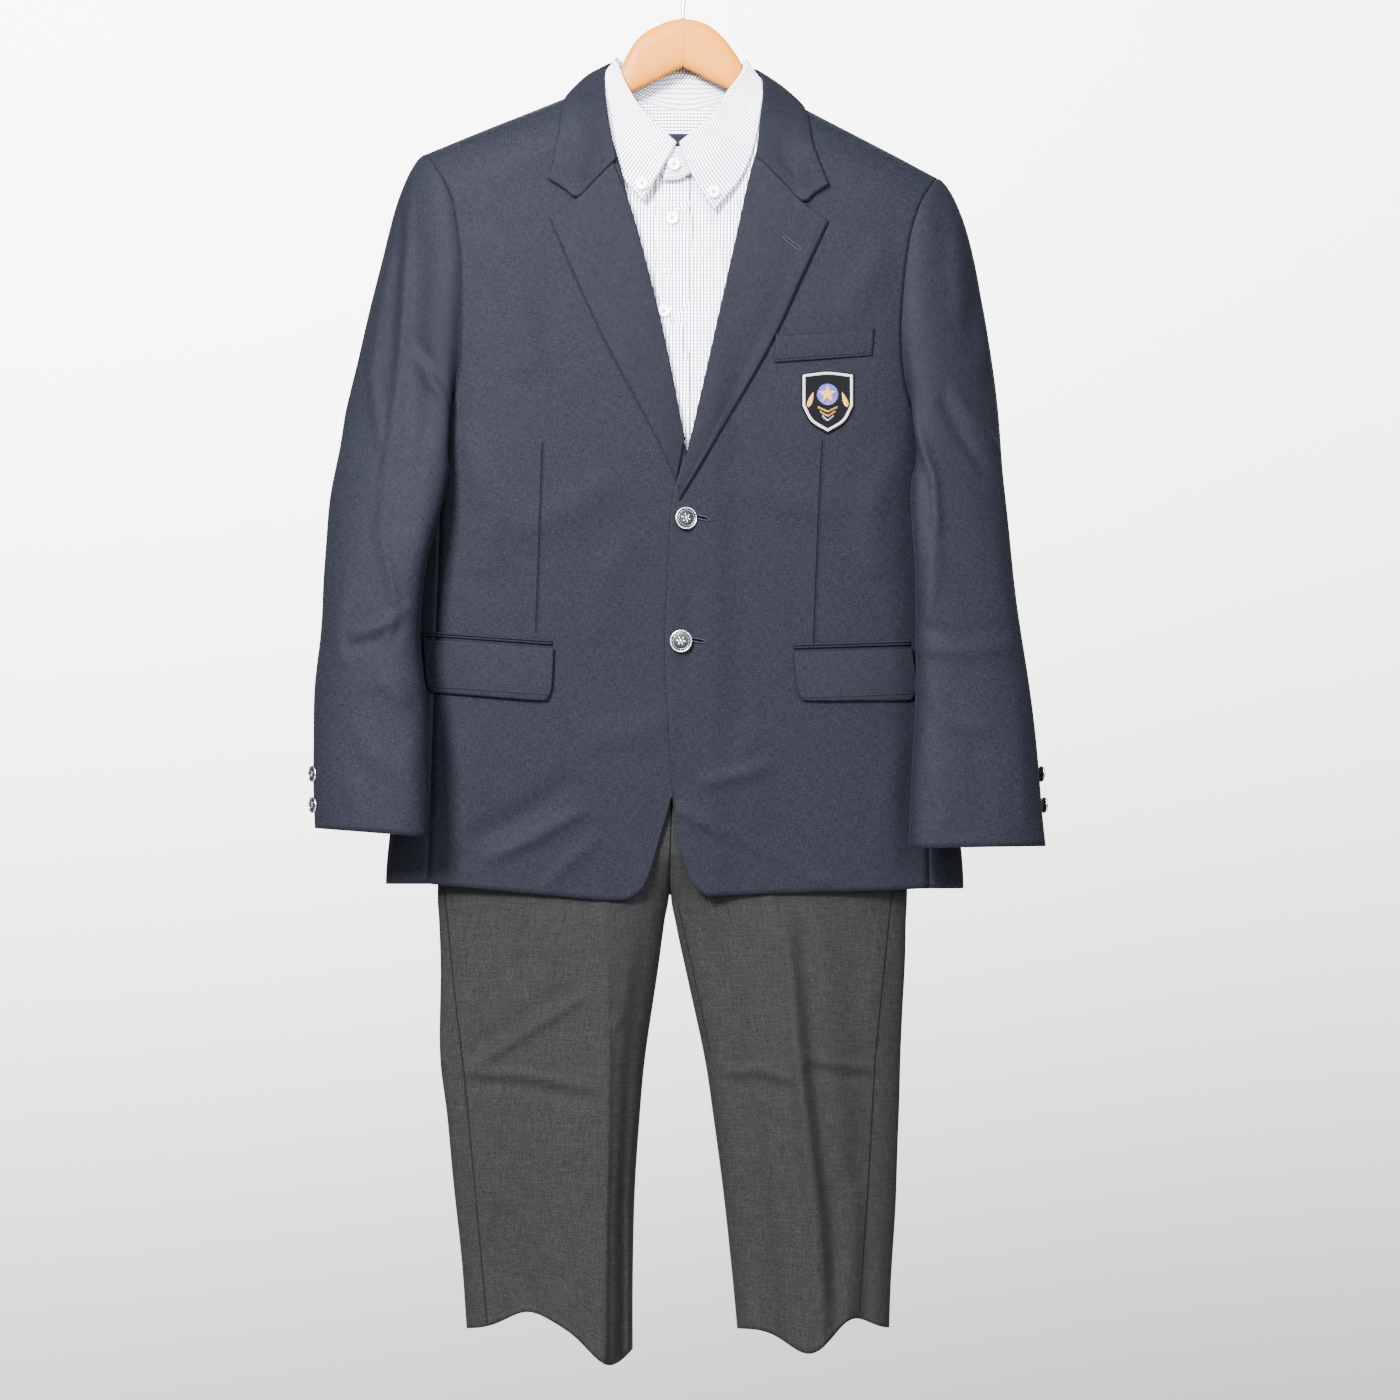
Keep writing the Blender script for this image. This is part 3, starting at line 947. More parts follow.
def sleeve_grid(side, loop):
    """A Bezier cap from the armhole to the first ring, then the rings.

    The cap is (1 - s)^3 a + 3s(1 - s)^2 b + 3s^2(1 - s) c + s^3 d.
    """
    sign = SIGNS[side]
    corners = ROUND * np.array((0, 8, 12, 20))
    turn = np.radians(np.interp(np.arange(len(loop)), corners, (0, 165, 240, 360)))[None]
    rings = sleeve_rings(side, turn, 8 * DOWN + 1)
    ease = (1 + np.cos(turn[0])) / 2
    along = np.roll(loop, -1, axis=0) - np.roll(loop, 1, axis=0)
    facing = JACKET.facing(loop)
    away = unit_of(np.cross(facing, along) * sign)
    loop = loop + 0.35 * away
    first = loop + np.stack([sign * CAP_SPREAD * (0.25 + 0.75 * ease), -9 * np.sin(turn[0]),
                             -6 - 16 * (1 - ease)], axis=-1)
    climb = rings[0] - rings[4]
    second = rings[0] + (12 + (CAP_DROP - 12) * ease)[:, None] * climb / np.maximum(climb[:, 2:], 1e-6)
    s = even(CAP_ROWS * DOWN)[:-1, None, None]
    cap = (1 - s)**3 * loop + 3 * s * (1 - s)**2 * first + 3 * s**2 * (1 - s) * second + s**3 * rings[0]
    grid = np.concatenate([cap, rings])
    gaps = ARM_GAP * np.minimum(np.arange(1, len(grid)) / (1.7 * DOWN), 1.0)
    free = np.clip(1.6 - np.arange(1, len(grid)) / (2.6 * DOWN), 0.0, 1.0)[:, None, None]
    free = free * ease[None, :, None]**0.7
    grid[1:] = free * grid[1:] + (1 - free) * JACKET.clear(grid[1:], gaps[:, None])
    near_joint = np.exp(-((np.arange(len(grid)) - CAP_ROWS * DOWN) / (1.8 * DOWN))**2)[:, None, None]
    near_joint[0] = 0.0
    for _ in range(90):
        eased = grid.copy()
        eased[1:-1] = (grid[:-2] + 2 * grid[1:-1] + grid[2:]) / 4
        grid = grid + near_joint * (eased - grid)
    outward = grid_normals(grid, closed=True) * sign
    turned_in = np.maximum((outward[0] * away).sum(axis=1), 0.0)[:, None]
    outward[0] -= turned_in * away
    outward[0] = unit_of(outward[0])
    return grid, outward, loop - 3.5 * away - 2.6 * facing


for side in ("left", "right"):
    grid, outward, allowance = sleeve_grid(side, armhole_loop(side))
    seen, hid = np.clip(-outward[..., 1], 0, 1)**0.5, np.clip(outward[..., 1], 0, 1)**0.5
    flat = grid[..., [0, 2]]
    settle = np.minimum(np.arange(len(grid)) / 14.0, 1.0)[:, None]
    round_arm = np.stack([grid[..., 1] * 2 + grid[..., 0], grid[..., 2]], axis=-1)
    creased = (folds(flat, SLEEVE_FOLDS[side]) * seen + folds(flat, HIDDEN_FOLDS[side]) * hid
               + rumple(round_arm, 41 + len(side), 95, 1.3))
    cloth = grid + (1.4 * creased * settle)[..., None] * outward
    low = slice(4 * DOWN, None)
    cloth[low] = JACKET.clear(cloth[low], 2.6)
    cloth, outward_all = np.concatenate([allowance[None], cloth]), np.concatenate([outward[:1], outward])
    front_seam, back_seam = 9 * ROUND, 16 * ROUND
    upper = list(range(back_seam, cloth.shape[1])) + list(range(front_seam + 1))
    for name, columns in (("upper", upper), ("under", list(range(front_seam, back_seam + 1)))):
        piece = draw_in(cloth[:, columns], ("left", "right"))
        sleeve = skin(f"jacket_{name}_sleeve_panel_{side}", piece, outward_all[:, columns], plain_wool,
                      [f"jacket_{name}_sleeve_{side}"], thick=JACKET_CLOTH)
        cut(piece)
    hidden = slice(CAP_ROWS * DOWN, (CAP_ROWS + 4) * DOWN + 1, 2)
    lining = (grid - (JACKET_CLOTH + 3 * LAYER_GAP) * outward)[hidden]
    inner = skin(f"shirt_sleeve_panel_{side}", lining, outward[hidden], plain_cotton,
                 [f"shirt_sleeve_{side}"], thick=SHIRT_CLOTH, round_about=True)
    cut(np.concatenate([lining, lining[:, :1]], axis=1))


# The notched lapels are the fronts folded back on a soft roll, and the collar is a separate
# piece sewn to them at the gorge. Both are two layers with a pressed edge. The viewer's right
# lapel has a slanting buttonhole, a dark slit bound with thread.
def rolled(points, normals, centre_way, radius, steps=7):
    """Adds a soft fold beyond the first column: a half turn of the radius, back under the piece."""
    column, out = points[:, 0], normals[:, 0]
    way = np.asarray(centre_way, float) - 0 * column
    way -= (way * out).sum(axis=1, keepdims=True) * out
    way = unit_of(way)
    angle = np.pi * 0.9 * even(steps)[1:, None, None]
    extra = column + radius * np.sin(angle) * way - radius * (1 - np.cos(angle)) * out
    facing = np.cos(angle) * out + np.sin(angle) * way
    extra, facing = extra.transpose(1, 0, 2), facing.transpose(1, 0, 2)
    return (np.concatenate([extra[:, ::-1], points], axis=1),
            np.concatenate([facing[:, ::-1], normals], axis=1))


FOLDED_CLOTH, FOLD_RADIUS = 1.6, 1.5
lapels = {
    "left": (LEFT_ROLL[:3] + [(-63.5, -187)],
             [(-6, -474), (-22.5, -436.5), (-74.7, -337.5), (-120.6, -236)],
             [(-120.6, -236), (-109, -228), (-95.9, -219)], [(-95.9, -219), (-63.5, -187)]),
    "right": ([(-3, -478)] + RIGHT_ROLL[:3] + [(70, -184)],
              [(-3, -490), (74.7, -358), (107, -290), (131.4, -239)],
              [(131.4, -239), (118, -230), (108.5, -222.5)], [(108.5, -222.5), (70, -184)])}
lapel_grids = {}
for side, (roll, outer, end, gorge) in lapels.items():
    inner, edge = curve(roll, even(90)), curve(outer, even(90))
    top = chain(curve(gorge[::-1], even(18)), curve(end[::-1], even(12)))
    flat = coons(curve([inner[0], edge[0]], even(30)), top, inner, edge)
    share = even(30)[None] + 0 * flat[..., 0]
    height = even(90)[:, None] + 0 * share
    belly = 1.6 * np.sin(np.pi * np.clip(share * 1.3, 0, 1)) * np.sin(np.pi * height)**0.6
    lift = 0.9 * share**3 * np.sin(np.pi * np.clip(height, 0, 1)) + 0.5 * np.sin(5.5 * np.pi * height) * share**2
    hem_roll = -0.5 * np.exp(-((1 - share) / 0.05)**2)
    level = 2.7 + (lap(flat) if side == "right" else 0.0) + belly + lift + hem_roll + rumple(flat, 51, 60, 0.25)
    points, normals = JACKET.cover(flat, out=level)
    lapel_grids[side] = (flat, points, normals)
    points, normals = draw_in(points, ("top",)), grid_normals(points)
    normals = np.where((normals[..., 1] > 0)[..., None], -normals, normals)
    points, normals = rolled(points, normals, (-SIGNS[side], 0, 0), FOLD_RADIUS)
    lapel = skin(f"jacket_lapel_fold_{side}", points, normals, plain_wool,
                 [f"jacket_lapel_{side}"], thick=FOLDED_CLOTH)
    cut(points)
COLLAR_LEFT = [[(-61, -33, -184), (-78, -35, -201.2), (-95, -36, -217.6), (-107, -36, -210),
                (-120.6, -36, -201.6)],
               [(-68, -27, -145), (-91, -33, -168), (-113, -33, -165)],
               [(-70.7, -2, -101.5), (-87, -3, -110.5), (-104, -4, -124)],
               [(-48, 23, -98), (-62, 30, -122), (-80, 33, -146)]]
COLLAR_RIGHT = [[(67.5, -33, -181.5), (87, -35, -200.6), (107.6, -36, -221), (119, -36, -214),
                 (131.4, -36, -206)],
                [(70, -27, -148), (94, -33, -172), (118, -33, -172)],
                [(72, -2, -108), (90, -3, -120), (107.5, -4, -133)],
                [(50, 23, -102), (64, 30, -126), (82, 33, -150)]]
grid = neck_ring(COLLAR_LEFT, [[(0, 26, -97), (0, 32, -124), (0, 35, -152)]], COLLAR_RIGHT, 170, 36)
grid = JACKET.clear(grid, JACKET_CLOTH + 2 * LAYER_GAP)
collar_out = grid_normals(grid)
rows, columns = even(36)[:, None], even(170)[None]
puff = (1.3 * np.sin(np.pi * rows)**0.8 - 0.5 * np.exp(-((1 - rows) / 0.06)**2)
        + 0.4 * np.sin(7 * np.pi * columns) * rows)
grid = grid + (puff * fade(170, 14))[..., None] * collar_out
beyond = unit_of(grid[0] - grid[1])
folded = np.stack([grid[0] + FOLD_RADIUS * (np.sin(a) * beyond - (1 - np.cos(a)) * collar_out[0])
                   for a in np.pi * 0.9 * even(6)[:0:-1]])
grid, collar_out = np.concatenate([folded, grid]), np.concatenate([collar_out[:1] + 0 * folded, collar_out])
collar = skin("jacket_collar_leaf", grid, collar_out, plain_wool, ["jacket_collar"],
              thick=FOLDED_CLOTH)
cut(grid)


def slit(name, start, end, body_out, thread, rise):
    """A buttonhole: a bound slit as a flat loop of thread, with a bar at its inner end."""
    start, end = np.array(start, float), np.array(end, float)
    along = (end - start) / np.linalg.norm(end - start)
    aside = np.array((-along[1], along[0]))
    turn = angles(48)
    half = np.linalg.norm(end - start) / 2
    wide = np.sign(np.cos(turn)) * np.abs(np.cos(turn))**0.5
    flat = (start + end) / 2 + half * wide[:, None] * along + 1.5 * np.sin(turn)[:, None] * aside
    points, normals = JACKET.cover(flat, out=body_out(flat) + rise)
    rings = bar(points, 0.62 + 0.10 * np.cos(24 * turn), 8, (0, 1.0, 0.1), shut=True)
    skin(name, rings, rings - np.vstack([points, points[:1]])[:, None], thread,
         round_about=True)
    flat = np.stack([start + (end - start) * s + aside * w for s in even(8) for w in (-0.75, 0.75)])
    flat = flat.reshape(9, 2, 2)
    points, normals = JACKET.cover(flat, out=body_out(flat) + rise - 0.25)
    skin(f"{name}_gap", points, normals, shadow_thread, thick=0.2)


navy_thread = Finish("navy_thread", Base_Color=(0.011, 0.012, 0.018, 1.0), Roughness=0.6,
                     Specular_IOR_Level=0.05)
shadow_thread = Finish("slit_shadow", Base_Color=(0.001, 0.001, 0.0015, 1.0), Roughness=0.9,
                       Specular_IOR_Level=0.0)
slit("front_buttonhole_upper", (8, -504), (24, -508), lap, navy_thread, 0.9)
slit("front_buttonhole_lower", (4, -615), (20.5, -618), lap, navy_thread, 0.9)
flat, points, normals = lapel_grids["right"]


def lapel_level(spots):
    """How far out of the body form the right lapel's face lies at each spot."""
    spots = np.asarray(spots)
    away = np.hypot(*[flat[..., axis].ravel()[:, None] - spots[..., axis].ravel() for axis in (0, 1)])
    near = np.argmin(away, axis=0)
    base, base_normals = JACKET.cover(flat)
    return ((points - base) * base_normals).sum(axis=-1).ravel()[near].reshape(spots.shape[:-1])


slit("lapel_buttonhole", (90.5, -254), (107, -266), lapel_level, navy_thread, 0.2)


# The pockets are a double-piped jet with a rounded flap at each hip, and a welt on the chest.
# The flaps are two layers with a stitched edge that hang a little proud of the front.
def stitched_wool(name, seams):
    """The blazer's wool with rows of sunken stitches, at distances from the map's edges."""
    wool = navy_wool(name)
    cloth = wool.where(on_cloth=True)
    bump = wool.shader.inputs["Normal"].links[0].from_node
    height = Value(wool, bump.inputs["Height"].links[0].from_socket)
    for name_of, value in seams:
        u = wool.axis(cloth, name_of) - value
        v = wool.axis(cloth, "Y" if name_of == "X" else "X")
        line = u.near(0.0002, 0.0008)
        dash = ((v / 0.0032).math("FRACT") - 0.5).near(0.30, 0.12)
        height = height - line * 2.2 + u.near(0.0001, 0.0003) * dash * 1.2
    wool.tree.links.new(height.socket, bump.inputs["Height"])
    return wool


FLAP_CORNER = 10.0
jets = {"left": [(-232.5, -608.5), (-117.5, -616.5)], "right": [(99.9, -620), (204, -616.8)]}
flaps = {"left": [(-232.5, -616), (-229.5, -664), (-118, -671), (-116, -624)],
         "right": [(99.9, -627.5), (103, -671), (209.7, -671), (206, -624.5)]}
for side in ("left", "right"):
    a, b = np.array(jets[side], float)
    pipes = LAYER_GAP + 1.7 * np.abs(np.sin(2 * np.pi * even(24)[:, None]))**0.6 + np.zeros(61)
    points, normals = JACKET.cover(patch([a - (0, 4.5), b - (0, 4.5)], [a, b], 60, 24), out=pipes)
    skin(f"pocket_jet_pipes_{side}", points, normals, plain_wool, [f"pocket_jet_{side}"],
         thick=0.8)
    top_left, low_left, low_right, top_right = [np.array(p, float) for p in flaps[side]]
    radius = FLAP_CORNER
    bow = curve([low_left + (0, radius), low_left + (radius * 0.3, radius * 0.3), low_left + (radius, 0),
                 (low_left + low_right) / 2, low_right + (-radius, 0),
                 low_right + (-radius * 0.3, radius * 0.3), low_right + (0, radius)], even(60))
    top = curve([top_left, top_right], even(60))
    ends = curve([bow[0], top_left], even(36)), curve([bow[-1], top_right], even(36))
    flat = coons(bow, top, *ends)
    down, along = 1 - even(36)[:, None], even(60)[None]
    flare = 0.5 + 0.5 * np.sin(2.2 * np.pi * along + len(side))
    proud = (3.1 + 0.8 * np.sin(np.pi * down * 0.9) + 1.4 * down**2 * flare
             - 0.5 * np.exp(-((1 - down) / 0.04)**2))
    points, normals = JACKET.cover(flat, out=proud)
    across, drop = span(points[::-1])
    edge_of = np.stack([across[::-1], drop[::-1]], axis=-1)
    length = float(edge_of[..., 1].max())
    flap_wool = stitched_wool(f"flap_wool_{side}", [("Y", length - 0.005)])
    flap = skin(f"pocket_flap_piece_{side}", points, normals, flap_wool, [f"pocket_flap_{side}"],
                uv=edge_of, thick=1.9)
    cut(points)
flat = patch([(82.6, -366.7), (170.5, -360.5)], [(83.7, -341), (171.9, -335.7)], 44, 16)
share = even(16)[:, None] + np.zeros(45)
points, normals = JACKET.cover(flat, out=1.6 + share + 0.5 * np.sin(np.pi * share))
across, drop = span(points)
welt = skin("breast_welt_strip", points, normals, stitched_wool("welt_wool", [("Y", 0.0018), ("Y", 0.0235)]),
            ["breast_welt"], uv=np.stack([across, drop], axis=-1), thick=1.4)
cut(points)


# The badge is a black felt shield with a corded silver rim. Its motifs are plain ones: a gold
# star on a violet disc, between two gold leaves and over three chevrons.
BADGE_TOP = 1.9
felt = Finish("black_felt", Roughness=0.95, Specular_IOR_Level=0.05)
fuzz = felt.specks(2200.0, 4.0)
felt_black = felt.blend(fuzz, (0.0010, 0.0010, 0.0015, 1.0), (0.0035, 0.0035, 0.0045, 1.0))
felt.feed(felt_black, height=fuzz, depth=0.0003)


def embroidery(name, colour, shade, turn, metal=0.35):
    """Satin stitch: parallel threads 0.35 mm apart, lit along each thread's back."""
    thread = Finish(name, Metallic=metal, Roughness=0.42)
    place_of = thread.where()
    x, z = thread.axis(place_of, "X"), thread.axis(place_of, "Z")
    across = x * float(np.cos(turn)) + z * float(np.sin(turn))
    wave = (across * (6283.2 / 0.35)).math("SINE") * 0.5 + 0.5
    return thread.feed(thread.blend(wave, shade, colour), height=wave, depth=0.00012)


silver = embroidery("silver_thread", (0.50, 0.50, 0.53, 1.0), (0.12, 0.12, 0.14, 1.0), 0.6)
gold = embroidery("gold_thread", (0.55, 0.30, 0.06, 1.0), (0.16, 0.08, 0.015, 1.0), 1.2)
violet = embroidery("violet_thread", (0.035, 0.030, 0.22, 1.0), (0.008, 0.008, 0.06, 1.0), 2.1, 0.0)


def shield(middle, half_width, top, bottom, count):
    """A shield's foot line and top line, side to side: straight sides drawn to a point at the foot."""
    left, right = middle - half_width, middle + half_width
    waist = top + (bottom - top) * 0.55
    foot = curve([(left, waist), (left + half_width * 0.35, waist + (bottom - waist) * 0.6), (middle, bottom)],
                 even(count // 2))
    other = foot[::-1] * (-1, 1) + (2 * middle, 0)
    return chain(foot, other), curve([(left, top), (middle, top + 2.5), (right, top)], even(count))


def stitched_shape(name, outline, middle, rise, finish, nodes=()):
    """A padded embroidered shape: its outline drawn in towards its middle, highest inside."""
    outline, middle = np.asarray(outline, float), np.asarray(middle, float)
    shares = np.array((1.0, 0.97, 0.85, 0.6, 0.3, 0.02))
    flat = np.stack([middle + (outline - middle) * share for share in shares])
    height = np.array((0.0, 0.55, 0.85, 1.0, 1.05, 1.05))[:, None] * rise
    points, normals = JACKET.cover(flat, out=BADGE_TOP + height + 0 * flat[..., 0])
    return skin(name, points, normals, finish, nodes, round_about=True)


middle = np.array((130.5, -402.0))
bottom, top = shield(middle[0], 23.5, -377, -431, 64)
sides = [curve([line[0], line[1]], even(24)) for line in ((bottom[0], top[0]), (bottom[-1], top[-1]))]
points, normals = JACKET.cover(coons(bottom, top, *sides), out=np.full((25, 65), BADGE_TOP))
field = skin("badge_felt", points, normals, felt, ["badge_field"], thick=1.2)
cut(points)
outer = chain(bottom, sides[1], top[::-1], sides[0][::-1])[:-1]
centre = outer.mean(axis=0)
line = curve(centre + (np.vstack([outer, outer[:1]]) - centre) * 0.905, even(420))[:-1]
path, normals = JACKET.cover(line, out=BADGE_TOP + 0.45 + 0 * line[:, 0])
wide = unit_of(normals)
aside = unit_of(np.cross(np.roll(path, -1, axis=0) - np.roll(path, 1, axis=0), wide))
turn = angles(12)
twist = 0.10 * np.cos(turn[None] * 2 + np.arange(420)[:, None] * 2 * np.pi / 5)
rings = (path[:, None] + ((1.25 + twist) * np.cos(turn))[..., None] * aside[:, None]
         + ((0.65 + twist) * np.sin(turn))[..., None] * wide[:, None])
rings, path = np.concatenate([rings, rings[:1]]), np.concatenate([path, path[:1]])
skin("badge_cord", rings, rings - path[:, None], silver, ["badge_rim"], round_about=True)
turn = np.pi / 2 + np.pi * np.arange(10) / 5
reach = np.where(np.arange(10) % 2 == 0, 10.5, 4.6)
star = np.stack([reach * np.cos(turn), reach * np.sin(turn)], axis=-1)
star = np.vstack([curve([a, b], even(4))[:-1] for a, b in zip(star, np.roll(star, -1, axis=0))])
disc = 9.6 * np.stack([np.cos(angles(40)), np.sin(angles(40))], axis=-1)
star_middle = middle + (0, 6.5)
stitched_shape("badge_disc", star_middle + disc, star_middle, 0.5, violet)
stitched_shape("badge_star_satin", star_middle + star * 0.86, star_middle, 1.5, gold,
               ["badge_star"])
for number, (drop, reach) in enumerate(((-8.0, 9.0), (-12.0, 7.0), (-16.0, 5.0))):
    ends = [(-reach, drop + 2.2), (0, drop - 1.6), (reach, drop + 2.2),
            (reach, drop + 3.9), (0, drop + 0.3), (-reach, drop + 3.9)]
    outline = np.vstack([curve([a, b], even(5))[:-1] for a, b in zip(ends, ends[1:] + ends[:1])])
    inner = outline.copy()
    inner[:, 1] = drop + 0.2 + 3.0 * np.abs(outline[:, 0]) / reach * 0.95
    flat = np.stack([middle + outline + (inner - outline) * share for share in (0.0, 0.3, 0.7)])
    level = BADGE_TOP + np.array((0.0, 0.5, 0.65))[:, None] + 0 * flat[..., 0]
    points, normals = JACKET.cover(flat, out=level)
    skin(f"badge_chevron_{number}", points, normals, gold if number < 2 else silver,
         round_about=True)
for number, sign in enumerate((-1, 1)):
    turn = angles(28)
    leaf_shape = np.stack([2.9 * np.sin(turn) * np.abs(np.sin(turn / 2)), 7.2 * np.cos(turn)], axis=-1)
    cosine, sine = np.cos(0.35 * sign), np.sin(0.35 * sign)
    tilt = np.array([[cosine, -sine], [sine, cosine]])
    spot = middle + (sign * 15.2, 2.0)
    stitched_shape(f"badge_leaf_{number}", spot + leaf_shape @ tilt.T, spot, 0.5, gold)


# The blazer's buttons are stamped metal shells with a rim, a dark field and a raised rosette of
# six plain petals, on a shank. The cuff's buttons are smaller and the same.
bright = Finish("bright_metal", Metallic=1.0, Roughness=0.26, Base_Color=(0.36, 0.36, 0.34, 1.0))
scuffs = bright.specks(700.0, 4.0)
bright.feed(roughness=scuffs * 0.22 + 0.16, height=scuffs, depth=0.00004)
dark_enamel = Finish("dark_enamel", Base_Color=(0.0035, 0.004, 0.008, 1.0), Roughness=0.35,
                     Specular_IOR_Level=0.15)
stipple = dark_enamel.specks(1800.0, 2.0)
dark_enamel.feed(height=stipple, depth=0.0001)


def crest_button(name, node, seat, normal, radius, spin):
    """A shell with a rolled rim, a sunken enamel field, a ring of beads and a raised rosette."""
    seat, unit = np.asarray(seat, float), radius / 10.3
    normal, across, up = frame_of(normal)
    turned(f"{name}_shell", seat, normal, [(2.0 * unit, 0.0), (7.5 * unit, 0.1), (9.9 * unit, 0.8 * unit),
           (10.3 * unit, 1.8 * unit), (9.9 * unit, 2.9 * unit), (9.2 * unit, 3.1 * unit), (8.6 * unit, 2.7 * unit),
           (8.3 * unit, 2.2 * unit)], bright, [node], sides=56)
    turned(f"{name}_field", seat, normal, [(8.5 * unit, 2.0 * unit), (7.5 * unit, 2.45 * unit),
           (4.0 * unit, 2.9 * unit), (0.6 * unit, 3.0 * unit)], dark_enamel, sides=48)
    for k in range(6):
        angle = spin + k * np.pi / 3
        way = np.cos(angle) * across + np.sin(angle) * up
        aside = -np.sin(angle) * across + np.cos(angle) * up
        s, turn = even(12)[:, None, None], angles(12)[None, :, None]
        wide = 0.80 * np.sin(np.pi * s)**0.7 * (1.2 - 0.5 * s) + 0.05
        petal = (seat + (1.4 + 3.4 * s) * unit * way + wide * unit * np.cos(turn) * aside
                 + (2.75 + 0.62 * np.sin(np.pi * s) * np.maximum(np.sin(turn), -0.3)) * unit * normal)
        skin(f"{name}_petal_{k}", petal, petal - petal.mean(axis=1, keepdims=True), bright,
             round_about=True, capped=True)
    turned(f"{name}_boss", seat, normal, [(1.5 * unit, 2.8 * unit), (1.3 * unit, 3.4 * unit),
           (0.4 * unit, 3.75 * unit)], bright, sides=24)
    turn = angles(72)
    ring = (seat + 7.2 * unit * (np.cos(turn)[:, None] * across + np.sin(turn)[:, None] * up)
            + 2.55 * unit * normal)
    rings = bar(ring, (0.16 + 0.07 * np.cos(24 * turn)) * unit, 8, normal, shut=True)
    skin(f"{name}_beads", rings, rings - np.vstack([ring, ring[:1]])[:, None], bright,
         round_about=True)


for name, x, z, spin, lean in (("front_button_upper", 2.7, -506.7, 0.3, (0.30, 0, 0.10)),
                               ("front_button_lower", -1.4, -617.4, 0.1, (-0.05, 0, 0.06))):
    seats, normals = JACKET.cover(np.array([[x, z]]), out=np.array([3.6]))
    crest_button(f"{name}_piece", name, seats[0], normals[0] + lean, 10.3, spin)
for side, sign in SIGNS.items():
    line = sleeve_rings(side, np.full((1, 1), -0.2 * sign), 60)[:, 0]
    for number, z in enumerate((-737, -765)):
        seat = [np.interp(-z, -line[:, 2], line[:, axis]) for axis in range(3)]
        seat[0] += sign * 0.8
        crest_button(f"sleeve_button_piece_{side}_{number + 1}", f"sleeve_button_{side}_{number + 1}", seat,
                     np.array((sign, 0.5 * sign, 0.0)), 7.4, 0.2 + number)


# The trousers are charcoal wool with a faint windowpane, two fronts and two backs with pressed
# creases, plain hems, and a waistband that is tucked out of sight.
TROUSER_CLOTH, TROUSER_TOP, WAISTBAND, CROTCH = 1.4, -571.0, 36.0, -850.0
# Columns: height, outer edge, front crease, inner edge, crease depth, edge depth, depth of the
# back crease, crease sharpness (1 sharp, 2.6 round), hollow beside it.
LEGS = {
    "left": [(-571, -207, -100, -9, -36, -2, 13, 2.6, 0), (-640, -210, -95, -9, -34, -2, 13, 2.6, 0),
             (-740, -215, -85, -9, -33, -2, 13, 2.4, 0), (-836, -220.5, -72, -11.5, -33, -2, 13, 2.0, 0),
             (-870, -219.5, -69.3, -16.5, -35, -2, 13, 1.7, 1), (-917, -218, -68, -22.9, -38, -2, 13, 1.4, 2),
             (-991, -217.8, -66.8, -33.8, -42, -3, 12, 1.25, 3), (-1044, -212, -67.5, -38.7, -44, -5, 12, 1.2, 4),
             (-1112, -206, -68.5, -43.2, -47, -6, 12, 1.15, 6), (-1186, -198.5, -70, -45, -52, -8, 12, 1.12, 9),
             (-1250, -193.5, -71, -45, -58, -10, 12, 1.1, 12)],
    "right": [(-571, 200, 90, -9, -36, -2, 13, 2.6, 0), (-640, 201, 88, -9, -34, -2, 13, 2.6, 0),
              (-740, 202, 84, -9, -33, -2, 13, 2.4, 0), (-836, 202, 79, -11.5, -33, -2, 13, 2.0, 0),
              (-870, 200.5, 82, -7, -35, -2, 13, 1.7, 1), (-917, 199.5, 98, 3, -38, -2, 13, 1.4, 2),
              (-991, 195, 103, 19, -42, -3, 12, 1.25, 3), (-1044, 194, 109, 27, -44, -5, 12, 1.2, 4),
              (-1112, 192, 115, 36, -47, -6, 12, 1.15, 5), (-1186, 188, 121, 44, -52, -8, 12, 1.12, 8),
              (-1250, 184.5, 128, 50, -58, -10, 12, 1.1, 11)]}
# Columns: the line of each fold as it is seen, its width and its height.
LEG_FOLDS = {
    "left": [([(-194, -1006), (-138, -968), (-85, -934)], 4, 3.4),
             ([(-200, -994), (-146, -958), (-96, -926)], 7, -1.6),
             ([(-200, -1005), (-144, -1008), (-73, -1021)], 4, 2.8),
             ([(-196, -1016), (-140, -1019), (-80, -1032)], 7, -1.4),
             ([(-64, -970), (-60, -962), (-54, -952)], 4, 1.5),
             ([(-166, -1124), (-151, -1174), (-138, -1218)], 10, -2.0),
             ([(-186, -1060), (-178, -1110), (-180, -1160)], 9, 1.5),
             ([(-110, -1060), (-104, -1120), (-110, -1190)], 10, 1.2),
             ([(-40, -880), (-52, -940), (-50, -1000)], 8, 1.0),
             ([(-205, -880), (-190, -920), (-196, -970)], 9, 1.5),
             ([(-100, -860), (-110, -900), (-104, -940)], 10, 1.0)],
    "right": [([(92, -852), (106.4, -1014), (121.9, -1141), (128.7, -1240)], 6, 2.6),
              ([(108, -864), (121, -1014), (136, -1141), (142, -1240)], 8, -3.0),
              ([(105, -991), (141, -998), (174, -1004)], 4, 2.9),
              ([(110, -1002), (146, -1010), (176, -1014)], 7, -1.4),
              ([(33, -1005), (69, -1004), (103, -1012)], 4, 2.6),
              ([(36, -1015), (70, -1014), (100, -1022)], 7, -1.2),
              ([(156, -1110), (155, -1170), (154, -1222)], 7, 2.2),
              ([(140, -1090), (142, -1160), (140, -1222)], 8, -1.8),
              ([(178, -900), (168, -940), (172, -980)], 9, 1.4),
              ([(60, -900), (66, -950), (60, -990)], 9, 1.0),
              ([(84, -1060), (88, -1120), (92, -1180)], 9, 1.2),
              ([(120, -860), (132, -900), (126, -950)], 10, 1.0)]}


